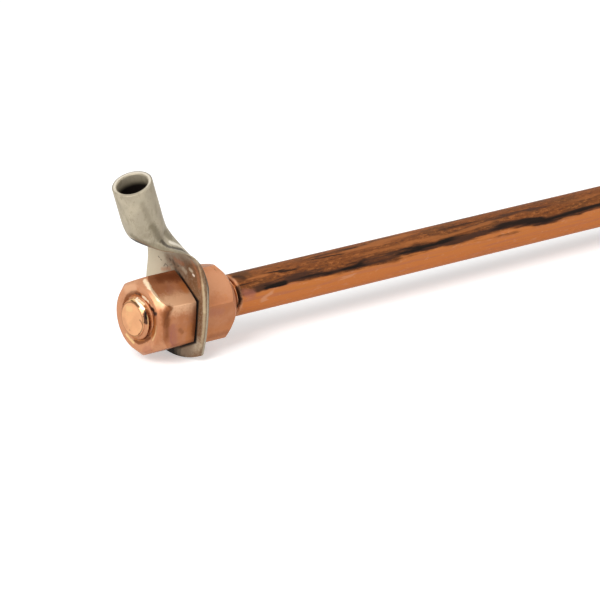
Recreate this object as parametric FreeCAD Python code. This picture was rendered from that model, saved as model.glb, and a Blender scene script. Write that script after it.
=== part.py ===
import FreeCAD, Part
import math
import os

from FreeCAD import Vector

# An earth rod with its clamp: a copper rod, threaded at one end, with a tinned
# cable lug held between two nuts. Millimetres and degrees.
# The rod lies along +X from its struck, threaded end at the origin to its point.
# +Z is up. The lug's barrel stands up and leans forward, towards the struck end.

# Rod
rod_length = 1200.0
shank_diameter = 15.875
thread_diameter = 15.7
thread_spare = 6.5
thread_shoulder = 0.6
end_face_diameter = 12.7
end_bevel_length = 2.0
end_edge_round = 0.4
point_length = 24.0
point_tip_diameter = 3.0
point_tip_round = 1.2

# Nuts, of one size
nut_across_flats = 27.0
nut_thickness = 16.5
nut_corner_round = 0.5
nut_face_inset = 1.0
nut_bevel_angle = 51.0
nut_countersink = 2.0
nut_seat_countersink = 0.6
nut_seat_inset = 0.3
nut_seat_bevel_angle = 12.0
rod_stand_out = 2.5
front_nut_turn = 6.1
back_nut_turn = 17.2

# Lug palm
palm_thickness = 3.0
palm_width = 35.4
palm_top_width = 34.5
palm_widest = 3.3
palm_reach = 17.15
foot_radius = 30.0
foot_inset = 3.0
foot_corner_round = 3.0

# Lug barrel
barrel_diameter = 14.9
barrel_wall = 1.7
barrel_straight = 12.5
barrel_lean = 20.0
mouth_height = 52.3
mouth_forward = 21.4
mouth_edge = 0.4
lug_turn = 4.5

# Neck between barrel and palm. The pulls are the lengths of the curve handles
# of its rear and front walls. The fractions run from the barrel to the palm. The
# front wall is pressed flat and the rear wall keeps a dome between two wings. The
# dome's widths are shares of the wall's flat width, and the bow is to the left.
rear_pull_high = 17.1
rear_pull_low = 13.9
chin_pull_high = 21.9
chin_pull_low = 25.1
flare_start = 0.23
flare_slope = 2.15
bow = 1.3
rim_end = 0.39
flat_front_start = 0.1
flat_front_end = 0.54
flat_rear_start = 0.07
flat_rear_end = 0.55
dome_high = 0.94
dome_low = 0.91
dome_round = 4.1

# Hollow of the neck, down to where the tube is pressed shut
bore_end = 0.6
bore_end_half_width = 4.0
bore_end_half_depth = 1.5
bore_end_place = 0.45

# Fits. The neck's bend starts this far inside the nut's seat circle.
thread_clearance = 0.05
lug_hole_clearance = 0.3
seat_gap = 0.05
bend_overlap = 0.6

# Sections of the neck
neck_sections = 9
neck_lead = 0.04
wall_sections = 16
rim_sections = 4
palm_sections = 10

X_AXIS = Vector(1, 0, 0)
ORIGIN = Vector(0, 0, 0)
SAME_PLACE = 1e-6

thread_radius = thread_diameter / 2
shank_radius = shank_diameter / 2
nut_corner_radius = nut_across_flats / 2 / math.cos(math.radians(30))
nut_bore_radius = thread_radius + thread_clearance
lug_hole_radius = thread_radius + lug_hole_clearance
barrel_radius = barrel_diameter / 2
barrel_bore_radius = barrel_radius - barrel_wall
palm_half_width = palm_width / 2
palm_half_top = palm_top_width / 2
nut_seat_radius = nut_across_flats / 2 - nut_seat_inset
palm_top = nut_seat_radius - bend_overlap

# Places along the rod
front_nut_outer_x = rod_stand_out
front_nut_seat_x = front_nut_outer_x + nut_thickness
palm_front_x = front_nut_seat_x + seat_gap
palm_rear_x = palm_front_x + palm_thickness
back_nut_seat_x = palm_rear_x + seat_gap
back_nut_outer_x = back_nut_seat_x + nut_thickness
thread_end_x = back_nut_outer_x + thread_spare


def turned(profile):
    """Solid of revolution about the rod's axis from (x, radius) points."""
    points = [Vector(x, 0, radius) for x, radius in profile]
    points.append(points[0])
    face = Part.Face(Part.makePolygon(points))
    return face.revolve(ORIGIN, X_AXIS, 360)


def rounded_at(shape, x, radius, fillet_radius):
    """Round the circular edge that lies at x with the given radius."""
    chosen = []
    for edge in shape.Edges:
        circle = edge.Curve
        if not isinstance(circle, Part.Circle):
            continue
        if abs(circle.Center.x - x) < SAME_PLACE and abs(circle.Radius - radius) < SAME_PLACE:
            chosen.append(edge)
    return shape.makeFillet(fillet_radius, chosen)


def make_rod():
    """Bar with a bevelled struck end, a plain thread band, a shank and a point."""
    end_radius = end_face_diameter / 2
    tip_radius = point_tip_diameter / 2
    profile = [
        (0, 0),
        (0, end_radius),
        (end_bevel_length, thread_radius),
        (thread_end_x, thread_radius),
        (thread_end_x + thread_shoulder, shank_radius),
        (rod_length - point_length, shank_radius),
        (rod_length, tip_radius),
        (rod_length, 0),
    ]
    rod = turned(profile)
    rod = rounded_at(rod, 0, end_radius, end_edge_round)
    return rounded_at(rod, rod_length, tip_radius, point_tip_round)


def hexagon_bar(turn):
    """Hexagonal bar as long as a nut, with a corner at this turn from up."""
    corners = []
    for number in range(7):
        angle = math.radians(turn + 60 * number)
        corners.append(Vector(0, -nut_corner_radius * math.sin(angle), nut_corner_radius * math.cos(angle)))
    bar = Part.Face(Part.makePolygon(corners)).extrude(Vector(nut_thickness, 0, 0))
    long_edges = []
    for edge in bar.Edges:
        if abs(edge.Length - nut_thickness) < SAME_PLACE:
            long_edges.append(edge)
    return bar.makeFillet(nut_corner_round, long_edges)


def make_nut(turn):
    """Nut with its bevelled outer face at x = 0 and its seat at its thickness."""
    face_radius = nut_across_flats / 2 - nut_face_inset
    outside = 1.1 * nut_corner_radius
    bevel_depth = (outside - face_radius) * math.tan(math.radians(nut_bevel_angle))
    seat_bevel_depth = (outside - nut_seat_radius) * math.tan(math.radians(nut_seat_bevel_angle))
    envelope = turned([
        (0, 0),
        (0, face_radius),
        (bevel_depth, outside),
        (nut_thickness - seat_bevel_depth, outside),
        (nut_thickness, nut_seat_radius),
        (nut_thickness, 0),
    ])
    bore = turned([
        (0, 0),
        (0, nut_bore_radius + nut_countersink),
        (nut_countersink, nut_bore_radius),
        (nut_thickness - nut_seat_countersink, nut_bore_radius),
        (nut_thickness, nut_bore_radius + nut_seat_countersink),
        (nut_thickness, 0),
    ])
    return hexagon_bar(turn).common(envelope).cut(bore)


def make_front_nut():
    nut = make_nut(front_nut_turn)
    nut.translate(Vector(front_nut_outer_x, 0, 0))
    return nut


def make_back_nut():
    """The same nut put on the other way round, so that its bevel faces the shank."""
    nut = make_nut(back_nut_turn)
    nut = nut.mirror(ORIGIN, X_AXIS)
    nut.translate(Vector(back_nut_outer_x, 0, 0))
    return nut


def blend(fraction, start, end):
    """Smooth step from 0 at start to 1 at end."""
    part = min(max((fraction - start) / (end - start), 0), 1)
    return part * part * (3 - 2 * part)


def bezier(fraction, start, start_handle, end_handle, end):
    """Point on a cubic curve in the lug's middle plane."""
    rest = 1 - fraction
    return (
        start * rest ** 3
        + start_handle * 3 * rest ** 2 * fraction
        + end_handle * 3 * rest * fraction ** 2
        + end * fraction ** 3
    )


# The lug is modelled upright, with its palm's front face at x = 0 and the
# rod's axis through the origin, then turned about the rod and moved into place.
lean = math.radians(barrel_lean)
barrel_down = Vector(math.sin(lean), 0, -math.cos(lean))
barrel_rearward = Vector(math.cos(lean), 0, math.sin(lean))
mouth_centre = Vector(-mouth_forward, 0, mouth_height)
barrel_end = mouth_centre + barrel_down * barrel_straight
rear_start = barrel_end + barrel_rearward * barrel_radius
front_start = barrel_end - barrel_rearward * barrel_radius
rear_foot = Vector(palm_thickness, 0, palm_top)
front_foot = Vector(0, 0, palm_top)
rim_angle_top = math.acos(1 - palm_thickness / barrel_diameter)


def neck_walls(fraction):
    """Points of the neck's rear and front wall, both in the middle plane."""
    rear = bezier(
        fraction,
        rear_start,
        rear_start + barrel_down * rear_pull_high,
        rear_foot + Vector(0, 0, rear_pull_low),
        rear_foot,
    )
    front = bezier(
        fraction,
        front_start,
        front_start + barrel_down * chin_pull_high,
        front_foot + Vector(0, 0, chin_pull_low),
        front_foot,
    )
    return rear, front


def lug_wire(points):
    """Closed wire of a front wall, a left rim, a rear wall and a right rim."""
    half = wall_sections + 2 * rim_sections
    corners = [rim_sections, half - rim_sections, half + rim_sections, 2 * half - rim_sections]
    edges = []
    for number in range(len(corners)):
        first = corners[number]
        last = corners[(number + 1) % len(corners)]
        if last < first:
            last += len(points)
        stretch = [points[index % len(points)] for index in range(first, last + 1)]
        curve = Part.BSplineCurve()
        curve.interpolate(Points=stretch, Parameters=[float(step) for step in range(len(stretch))])
        edges.append(curve.toShape())
    return Part.Wire(edges)


def section_angles(rim_angle):
    """Angles round a section: close together on both rims, wider between them."""
    rim_steps = [rim_angle / rim_sections] * rim_sections
    wall_steps = [(math.pi - 2 * rim_angle) / wall_sections] * wall_sections
    steps = rim_steps + wall_steps + rim_steps
    angles = [0.0]
    for step in steps + steps[:-1]:
        angles.append(angles[-1] + step)
    return angles


def palm_half_width_at(height):
    """Half the palm's width at this height: widest a little above the rod, drawn in above and below."""
    above = max((height - palm_widest) / (palm_top - palm_widest), 0)
    below = max((palm_widest - height) / (palm_widest + palm_reach), 0)
    return palm_half_width - (palm_half_width - palm_half_top) * above ** 2 - foot_inset * below ** 2


def neck_half_width(fraction):
    """Half the neck's width: the barrel's, then a flare that runs into the palm's sides."""
    share = max((fraction - flare_start) / (1 - flare_start), 0)
    growth = palm_half_top - barrel_radius
    palm_slope = 2 * (palm_half_width - palm_half_top) / (palm_top - palm_widest)
    end_slope = palm_slope * 3 * chin_pull_low * (1 - flare_start) / growth
    start_share = share ** 3 - 2 * share ** 2 + share
    end_share = share ** 3 - share ** 2
    rise = 3 * share ** 2 - 2 * share ** 3
    return barrel_radius + growth * (flare_slope * start_share + rise + end_slope * end_share)


def neck_middle(fraction):
    """How far the neck's middle stands to the left."""
    return bow * math.sin(math.pi * fraction) ** 2


def neck_section(fraction):
    """Section of the neck: round at the barrel, then flat in front with a dome and two wings behind."""
    rear, front = neck_walls(fraction)
    across = rear - front
    depth = across.Length
    across.normalize()
    half_width = neck_half_width(fraction)
    edge = palm_thickness / 2
    rim_share = blend(fraction, 0, rim_end)
    rim_depth = (1 - rim_share) * depth / 2 + rim_share * edge
    front_share = blend(fraction, flat_front_start, flat_front_end)
    rear_share = blend(fraction, flat_rear_start, flat_rear_end)
    dome_reach = (half_width - edge) * (dome_high + (dome_low - dome_high) * fraction)
    points = []
    for angle in section_angles(math.acos(1 - edge / half_width)):
        side = half_width * math.cos(angle)
        roundness = abs(math.sin(angle))
        into_edge = min(max(abs(side) - (half_width - edge), 0), edge)
        flatness = math.sqrt(1 - (into_edge / edge) ** 2)
        if math.sin(angle) >= 0:
            deep = rim_depth * (1 - (1 - front_share) * roundness - front_share * flatness)
        else:
            dome = 1 - min(abs(side) / dome_reach, 1) ** dome_round
            round_rise = (depth - rim_depth) * roundness
            flat_rise = edge * flatness + (depth - rim_depth - edge) * dome
            deep = rim_depth + (1 - rear_share) * round_rise + rear_share * flat_rise
        points.append(front + across * deep + Vector(0, neck_middle(fraction) + side, 0))
    return lug_wire(points)


def barrel_section():
    """Circle at the barrel's end, in four arcs that match the neck's sections."""
    turns = [
        (rim_angle_top, math.pi - rim_angle_top),
        (math.pi - rim_angle_top, math.pi + rim_angle_top),
        (math.pi + rim_angle_top, 2 * math.pi - rim_angle_top),
        (-rim_angle_top, rim_angle_top),
    ]

    def at(angle):
        side = Vector(0, barrel_radius * math.cos(angle), 0)
        return barrel_end + side - barrel_rearward * barrel_radius * math.sin(angle)

    return Part.Wire([Part.Arc(at(low), at((low + high) / 2), at(high)).toShape() for low, high in turns])


def palm_section(height):
    """Flat section of the palm with full round rims."""
    radius = palm_thickness / 2
    half_width = palm_half_width_at(height)
    flat = half_width - radius

    def at(x, side):
        return Vector(x, side, height)

    return Part.Wire([
        Part.makeLine(at(0, flat), at(0, -flat)),
        Part.Arc(at(0, -flat), at(radius, -half_width), at(palm_thickness, -flat)).toShape(),
        Part.makeLine(at(palm_thickness, -flat), at(palm_thickness, flat)),
        Part.Arc(at(palm_thickness, flat), at(radius, half_width), at(0, flat)).toShape(),
    ])


def bore_section(fraction):
    """Section of the hollow inside the neck, an ellipse that closes downwards."""
    rear, front = neck_walls(fraction)
    share = fraction / bore_end
    half_width = barrel_bore_radius + (bore_end_half_width - barrel_bore_radius) * share
    half_depth = barrel_bore_radius + (bore_end_half_depth - barrel_bore_radius) * share
    place = 0.5 + (bore_end_place - 0.5) * share
    middle = front + (rear - front) * place + Vector(0, neck_middle(fraction), 0)
    across = rear - front
    across.normalize()
    side = Vector(0, half_width, 0)
    return Part.Wire(Part.Ellipse(middle + side, middle + across * half_depth, middle).toShape())


def make_foot_cutter():
    """What is left of the palm's end: all above a shallow arc between two rounded corners."""
    sagitta = foot_radius - math.sqrt(foot_radius ** 2 - palm_half_width ** 2)
    left = Vector(0, palm_half_width, sagitta - palm_reach)
    right = Vector(0, -palm_half_width, sagitta - palm_reach)
    foot = Vector(0, 0, -palm_reach)
    high = Vector(0, 0, palm_top + palm_reach)
    outline = Part.Wire([
        Part.Arc(left, foot, right).toShape(),
        Part.makeLine(right, right + high),
        Part.makeLine(right + high, left + high),
        Part.makeLine(left + high, left),
    ])
    block = Part.Face(outline).extrude(Vector(palm_thickness, 0, 0))
    corners = []
    for edge in block.Edges:
        low_end = max(vertex.Z for vertex in edge.Vertexes) < left.z + SAME_PLACE
        if low_end and abs(edge.Length - palm_thickness) < SAME_PLACE:
            corners.append(edge)
    return block.makeFillet(foot_corner_round, corners)


def make_palm():
    """Flat palm, widest beside the rod, with its end cut to a shallow arc."""
    drop = palm_top + palm_reach
    heights = [palm_top - drop * number / palm_sections for number in range(palm_sections + 1)]
    bar = Part.makeLoft([palm_section(height) for height in heights], True, False)
    return bar.common(make_foot_cutter())


def make_lug():
    """One piece of tube: open round barrel, pressed neck and flat palm."""
    barrel = Part.Face(barrel_section()).extrude(barrel_down * -barrel_straight)
    inner_steps = [number / neck_sections for number in range(1, neck_sections)]
    steps = [neck_lead] + inner_steps + [1 - neck_lead]
    neck = Part.makeLoft([barrel_section()] + [neck_section(step) for step in steps] + [palm_section(palm_top)], True, False)
    lug = barrel.fuse([neck, make_palm()])
    hollow = Part.makeLoft([bore_section(bore_end * step) for step in [0] + steps + [1]], True, False)
    bore = Part.makeCylinder(barrel_bore_radius, barrel_straight, mouth_centre, barrel_down)
    lead_in = Part.makeCone(
        barrel_bore_radius + mouth_edge, barrel_bore_radius, mouth_edge, mouth_centre, barrel_down
    )
    rod_hole = Part.makeCylinder(lug_hole_radius, palm_thickness, ORIGIN, X_AXIS)
    lug = lug.cut([bore, lead_in, hollow, rod_hole])
    lug.rotate(ORIGIN, X_AXIS, lug_turn)
    lug.translate(Vector(palm_front_x, 0, 0))
    return lug


parts = {
    "rod": make_rod(),
    "front_nut": make_front_nut(),
    "back_nut": make_back_nut(),
    "lug": make_lug(),
}

os.makedirs("parts", exist_ok=True)
for name, shape in parts.items():
    solids = shape.Solids
    if len(solids) != 1 or not shape.isValid():
        raise RuntimeError(name + " is not one valid solid")
    solids[0].exportStep(os.path.join("parts", name + ".step"))
    box = solids[0].BoundBox
    print(name, "volume", round(solids[0].Volume, 1), "x", round(box.XMin, 2), round(box.XMax, 2),
          "y", round(box.YMin, 2), round(box.YMax, 2), "z", round(box.ZMin, 2), round(box.ZMax, 2))
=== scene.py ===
import math

import bmesh
import bpy
from bpy.props import FloatProperty, FloatVectorProperty, PointerProperty
from mathutils import Matrix, Vector


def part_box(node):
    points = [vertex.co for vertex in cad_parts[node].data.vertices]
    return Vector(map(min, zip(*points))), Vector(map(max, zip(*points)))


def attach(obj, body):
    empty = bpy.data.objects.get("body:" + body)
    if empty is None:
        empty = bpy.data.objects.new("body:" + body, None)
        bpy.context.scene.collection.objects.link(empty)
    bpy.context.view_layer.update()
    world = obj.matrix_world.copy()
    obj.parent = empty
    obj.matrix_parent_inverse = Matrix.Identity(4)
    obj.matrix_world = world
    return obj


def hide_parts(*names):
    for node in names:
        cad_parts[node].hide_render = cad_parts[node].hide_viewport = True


# An earth rod with its clamp: a copper rod with a threaded, struck end, and a tinned
# cable lug held between two nuts. Every size is in metres and every place is in the
# frame's own axes: the rod lies along +X from its struck end at the origin, +Z is up.

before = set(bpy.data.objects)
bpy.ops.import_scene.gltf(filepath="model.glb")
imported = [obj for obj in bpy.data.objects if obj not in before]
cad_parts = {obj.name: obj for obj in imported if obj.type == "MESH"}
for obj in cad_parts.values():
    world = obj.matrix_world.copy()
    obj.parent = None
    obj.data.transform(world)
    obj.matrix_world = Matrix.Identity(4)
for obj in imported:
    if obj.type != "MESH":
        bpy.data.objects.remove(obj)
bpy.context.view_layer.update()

bl_info = {
    "name": "Earth rod with clamp",
    "version": (1, 0, 0),
    "blender": (4, 5, 0),
    "location": "View3D > Sidebar > Earth rod",
    "description": "Builds a threaded earth rod, its two nuts and the cable lug between them",
    "category": "Add Mesh",
}

MM = 0.001
Y_AXIS = Vector((0, 1, 0))
FULL_TURN = 2 * math.pi
SAME_PLACE = 2e-6
SENSOR_WIDTH = 36


def length(name, description, default):
    return FloatProperty(name=name, description=description, default=default * MM, unit="LENGTH", precision=5)


def angle(name, description, default):
    return FloatProperty(name=name, description=description, default=math.radians(default), unit="ROTATION")


def share(name, description, default):
    return FloatProperty(name=name, description=description, default=default, min=0, max=1, subtype="FACTOR")


def colour(name, description, default):
    return FloatVectorProperty(
        name=name, description=description, default=default, min=0, max=1, subtype="COLOR")


def factor(name, description, default):
    return FloatProperty(name=name, description=description, default=default)


def power(name, description, default):
    return FloatProperty(name=name, description=description, default=default, unit="POWER")


class RodSettings(bpy.types.PropertyGroup):
    length: length("Length", "From the struck end to the point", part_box("rod")[1].x / MM)
    shank_diameter: length("Shank diameter", "Outside the thread", 15.875)
    thread_diameter: length("Thread diameter", "Over the crests", 15.7)
    thread_pitch: length("Thread pitch", "From one crest to the next", 2.309)
    thread_depth: length("Thread depth", "From crest to root", 1.25)
    thread_phase: length("Thread start", "Place of a crest at the top of the rod", 0.9)
    thread_length: length("Thread length", "From the struck end to the shank", 45.1)
    thread_run_out: length("Thread run-out", "Over which the last turn fades", 1.6)
    end_face_diameter: length("End face diameter", "Flat struck face", 12.7)
    end_bevel_length: length("End bevel length", "Bevel round the struck face", 2.0)
    point_length: length("Point length", "Cone at the driven end", 24.0)
    point_tip_diameter: length("Tip diameter", "Blunt tip of the point", 3.0)


class NutSettings(bpy.types.PropertyGroup):
    across_flats: length("Across flats", "Size of the hexagon", 27.0)
    thickness: length("Thickness", "Along the rod", 16.5)
    corner_round: length("Corner round", "Radius of the hexagon's long edges", 0.5)
    edge_round: length("Edge round", "Radius of the edges round both faces", 0.25)
    face_inset: length("Face inset", "Outer face circle inside the flats", 1.0)
    bevel_angle: angle("Bevel angle", "Outer bevel, from the face's plane to the rod", 51)
    seat_inset: length("Seat inset", "Seat circle inside the flats", 0.3)
    seat_bevel_angle: angle("Seat bevel angle", "Bevel behind the seat circle", 12)
    countersink: length("Countersink", "Of the bore at the outer face", 2.3)
    countersink_angle: angle("Countersink angle", "From the rod to its cone", 72)
    countersink_shift: length("Countersink shift", "Off the middle, to one side", 1.1)
    countersink_side: angle("Countersink side", "Turn of that side from the top", 70)
    seat_countersink: length("Seat countersink", "Of the bore at the seat", 0.6)
    thread_clearance: length("Thread clearance", "Between the nut's thread and the rod's", 0.06)
    front_x: length("Front nut place", "Its outer face, from the struck end", 2.5)
    back_x: length("Back nut place", "Its outer face, from the struck end", 38.6)
    front_turn: angle("Front nut turn", "A corner's turn from the top", 6.1)
    back_turn: angle("Back nut turn", "A corner's turn from the top", 17.2)


class LugSettings(bpy.types.PropertyGroup):
    front_x: length("Palm place", "Front face, from the struck end", 19.05)
    turn: angle("Turn", "About the rod, from upright", 4.5)
    palm_thickness: length("Palm thickness", "Two walls pressed together", 3.0)
    palm_width: length("Palm width", "At its widest", 35.4)
    palm_top: length("Palm top", "Height at which the neck begins", 12.6)
    palm_reach: length("Palm reach", "Below the rod's axis", 17.15)
    foot_radius: length("Foot radius", "Arc of the palm's end", 30.0)
    foot_inset: length("Foot inset", "Narrowing towards the end", 3.0)
    foot_corner: length("Foot corner", "Radius at the end's two corners", 3.0)
    hole_radius: length("Hole radius", "For the rod", 8.15)
    barrel_diameter: length("Barrel diameter", "Outside", 14.9)
    barrel_wall: length("Barrel wall", "Thickness of the tube", 1.7)
    barrel_straight: length("Straight barrel", "Length before the neck", 12.5)
    barrel_lean: angle("Barrel lean", "Towards the struck end", 20)
    mouth_height: length("Mouth height", "Above the rod's axis", 52.3)
    mouth_forward: length("Mouth forward", "In front of the palm", 21.4)
    mouth_edge: length("Mouth edge", "Outer rounding of the open end, three times as much inside", 0.35)
    mouth_slant: angle("Mouth slant", "Of the cut, from square", 4.5)
    mouth_slant_side: angle("Mouth slant side", "Lowest side of the cut, from the front", 50)
    rear_pull_high: length("Rear pull, high", "Curve handle of the rear wall at the barrel", 17.1)
    rear_pull_low: length("Rear pull, low", "Curve handle of the rear wall at the palm", 13.9)
    chin_pull_high: length("Chin pull, high", "Curve handle of the front wall at the barrel", 21.9)
    chin_pull_low: length("Chin pull, low", "Curve handle of the front wall at the palm", 25.1)
    top_width: length("Palm top width", "Width at which the neck meets the palm", 34.5)
    palm_widest: length("Palm widest", "Height above the rod's axis at which it is widest", 3.3)
    flare_start: share("Flare start", "Share of the neck above the flare", 0.23)
    flare_slope: factor("Flare slope", "How steeply the flare begins", 2.15)
    bow: length("Bow", "Sideways bend of the neck", 1.3)
    rim_end: share("Rim end", "Share of the neck at which its sides are as thin as the palm's", 0.39)
    flat_front_start: share("Flat front start", "Share of the neck above its flat front", 0.1)
    flat_front_end: share("Flat front end", "Share of the neck at which its front is flat", 0.54)
    flat_rear_start: share("Flat rear start", "Share of the neck above its flat wings", 0.07)
    flat_rear_end: share("Flat rear end", "Share of the neck at which its wings are flat", 0.55)
    dome_high: share("Dome, high", "Width of the rear dome at the barrel, of the flat part", 0.94)
    dome_low: share("Dome, low", "Width of the rear dome at the palm, of the flat part", 0.91)
    dome_round: factor("Dome round", "2 for a round crown, more for a flat one", 4.1)
    bore_end: share("Bore end", "Share of the neck that is hollow", 0.6)
    bore_end_half_width: length("Bore end half width", "Where the hollow closes", 4.0)
    bore_end_half_depth: length("Bore end half depth", "Where the hollow closes", 1.5)
    bore_end_place: share("Bore end place", "From the front wall to the rear wall", 0.45)


class FinishSettings(bpy.types.PropertyGroup):
    copper_face: colour("Struck copper", "Clean end face", (0.8, 0.42, 0.21))
    # painted reflection: this colour makes the rod's lower side bright
    copper_bright_reflection: colour("Bright copper", "Clean lower side of the rod", (0.52, 0.175, 0.05))
    copper_nut: colour("Nut copper", "Satin copper of the nuts", (0.56, 0.26, 0.135))
    copper_flat: colour("Flat copper", "Duller flats of the nuts", (0.45, 0.172, 0.075))
    # painted highlights: white glints on the rod's bevel and in the front nut's countersink
    painted_white_highlight: colour("White shine", "Freshly cut places", (1.0, 0.9, 0.7))
    # painted highlights along the rod's bevel and the front nut's bevel
    painted_pale_highlight: colour("Pale copper", "Edges rubbed bright", (0.95, 0.74, 0.5))
    copper_orange: colour("Orange copper", "Fresh cut of the countersinks", (0.5, 0.17, 0.045))
    copper_pink: colour("Pink copper", "Reddish patches", (0.36, 0.13, 0.09))
    # red-brown in the thread's roots, dents and marks, and the painted shade and reflection of the lug on the
    # front nut's upper flat
    copper_deep_and_shade: colour("Deep copper", "Warm red-brown tarnish", (0.2, 0.055, 0.018))
    # partly tarnish and partly a painted dark reflection on the rod's upper side; also brown marks on the
    # nuts
    copper_brown_and_reflection: colour("Brown tarnish", "Upper side of the rod", (0.2, 0.062, 0.018))
    copper_olive: colour("Olive tarnish", "Patches on the rod", (0.11, 0.045, 0.017))
    # black tarnish lines, and painted shade: the black reflection streak along the rod, the contact shadow
    # round the nuts, the deep hollow of the barrel and the shadow under the lug's foot
    copper_black_and_shade: colour("Black tarnish", "Streak along the rod and grime", (0.01, 0.007, 0.006))
    # smoke flecks in the tarnish, and the painted dark reflection band along the rod
    copper_smoke_and_reflection: colour("Smoke on copper", "Dark band along the rod", (0.05, 0.023, 0.016))
    copper_gold: colour("Golden copper", "Mottles in the tarnish", (0.38, 0.13, 0.038))
    # yellowed copper on the struck face, and painted straw highlights on the rod's bevel and round the front
    # nut's countersink
    copper_straw_and_highlight: colour("Straw copper", "Yellowed clean copper", (0.78, 0.52, 0.24))
    # painted light: the light near the front nut's corner, glints along its corner, bevel and countersink,
    # and the lighter upper left of its face
    painted_peach_light: colour("Peach copper", "Edges polished by handling", (0.78, 0.46, 0.27))
    copper_sheen: colour("Copper sheen", "Tint of the shine at a slant", (0.9, 0.6, 0.42))
    tin_sheen: colour("Tin sheen", "Tint of the shine at a slant", (0.9, 0.86, 0.76))
    tin: colour("Tin", "Matt tinned tube", (0.4, 0.345, 0.255))
    tin_light: colour("Light tin", "Rubbed places", (0.6, 0.525, 0.385))
    # bright specks on the palm, and painted highlights on the mouth's rim and the wing's top
    tin_pale_and_highlight: colour("Pale tin", "Bright specks and the rim", (0.82, 0.75, 0.63))
    # painted shade down the barrel, along the chin, in the fold and in the hollow; also random olive stains
    tin_shade: colour("Olive tin", "Faint soot on the barrel", (0.2, 0.165, 0.105))
    # dark pits on the palm and the dark line round the mouth, and painted shade in the fold behind the wing
    # and on the rim's back
    tin_dark_and_shade: colour("Dark tin", "Grime in the folds", (0.055, 0.042, 0.03))
    tin_copper: colour("Copper on tin", "Copper rubbed off on the palm", (0.25, 0.145, 0.085))
    # painted highlight along the front of the palm's rim
    painted_tin_highlight: colour("Tan tin", "Rubbed rim of the palm", (0.55, 0.42, 0.26))
    tin_brown: colour("Brown tin", "Stain beside the nut", (0.165, 0.083, 0.036))


class StageSettings(bpy.types.PropertyGroup):
    camera_azimuth: angle("Camera azimuth", "0 looks along +Y, 90 along -X", -39.95)
    camera_elevation: angle("Camera elevation", "Above the horizon", 17.02)
    camera_distance: length("Camera distance", "From the aim point, along the view", 1477.25)
    aim_x: length("Aim point", "Along the rod, from the struck end", 19.05)
    aim_right: length("Aim offset, right", "Of the aim point from the view's middle", -46.187)
    aim_up: length("Aim offset, up", "Of the aim point from the view's middle", -3.371)
    lens: factor("Lens", "Focal length for a 36 mm sensor, in millimetres", 243.05)
    floor_size: length("Floor size", "Side of the square floor", 9000)
    floor_colour: colour("Floor", "Plain pale floor", (0.8, 0.8, 0.8))
    floor_glow: share("Floor glow", "Own light of the floor, as the camera and reflections see it", 0.45)
    surroundings: share("Surroundings", "Light of the white surroundings on the object", 0.34)
    key_power: power("Key light", "Soft light from the front left", 36)
    fill_power: power("Fill light", "Soft light from the right", 6)
    top_power: power("Top light", "Soft light from above and behind", 4)


# Points and meshes


def blend(fraction, start, end):
    """Smooth step from 0 at start to 1 at end."""
    part = min(max((fraction - start) / (end - start), 0), 1)
    return part * part * (3 - 2 * part)


def on_ring(x, radius, turn):
    """Point about the rod's axis, turned from the top towards -Y."""
    return Vector((x, -radius * math.sin(turn), radius * math.cos(turn)))


def even_turns(sides):
    """This many turns, evenly round the axis."""
    return [FULL_TURN * number / sides for number in range(sides)]


def piece_from(name, points, faces):
    """Object with a clean mesh: doubled points joined, faces turned outwards."""
    mesh = bpy.data.meshes.new(name)
    shape = bmesh.new()
    corners = [shape.verts.new(point) for point in points]
    for face in faces:
        if len(set(face)) == len(face):
            shape.faces.new([corners[number] for number in face])
    bmesh.ops.remove_doubles(shape, verts=shape.verts, dist=SAME_PLACE)
    bmesh.ops.recalc_face_normals(shape, faces=shape.faces)
    for face in shape.faces:
        face.smooth = True
    shape.to_mesh(mesh)
    shape.free()
    piece = bpy.data.objects.new(name, mesh)
    bpy.context.scene.collection.objects.link(piece)
    return piece


class Skin:
    """Points and faces of one closed skin, gathered ring by ring."""

    def __init__(self):
        self.points = []
        self.faces = []

    def ring(self, points):
        first = len(self.points)
        self.points.extend(points)
        return list(range(first, len(self.points)))

    def join(self, low, high):
        """Quads between two rings."""
        count = len(low)
        for number in range(count):
            after = (number + 1) % count
            self.faces.append((low[number], low[after], high[after], high[number]))

    def join_all(self, rings):
        """Quads between each ring and the next."""
        for low, high in zip(rings, rings[1:]):
            self.join(low, high)

    def cap(self, ring):
        """Fan of triangles over a round ring."""
        middle = sum((self.points[number] for number in ring), Vector()) / len(ring)
        self.points.append(middle)
        centre = len(self.points) - 1
        for number in range(len(ring)):
            self.faces.append((ring[number], ring[(number + 1) % len(ring)], centre))


def rounded(corners, radii, steps):
    """Profile of (x, radius) corners with an arc of equal steps at each inner corner."""
    profile = [corners[0]]
    for number in range(1, len(corners) - 1):
        here = Vector(corners[number])
        before = Vector(corners[number - 1]) - here
        after = Vector(corners[number + 1]) - here
        half_angle = before.angle(after) / 2
        reach = radii[number - 1] / math.tan(half_angle)
        reach = min(reach, before.length * 0.45, after.length * 0.45)
        first = here + before.normalized() * reach
        last = here + after.normalized() * reach
        for step in range(steps + 1):
            part = step / steps
            low = first.lerp(here, part)
            high = here.lerp(last, part)
            profile.append(tuple(low.lerp(high, part)))
    profile.append(corners[-1])
    return profile


def thread_shape(rod, x, turn):
    """Depth of the rod's thread below its crests, from 0 to 1, at a place and a turn."""
    half_crest = 1 / 16
    flank = 5 / 16
    phase = (x - rod.thread_phase) / rod.thread_pitch - turn / FULL_TURN
    off_crest = abs(phase - round(phase))
    return min(max((off_crest - half_crest) / flank, 0), 1)


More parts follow.
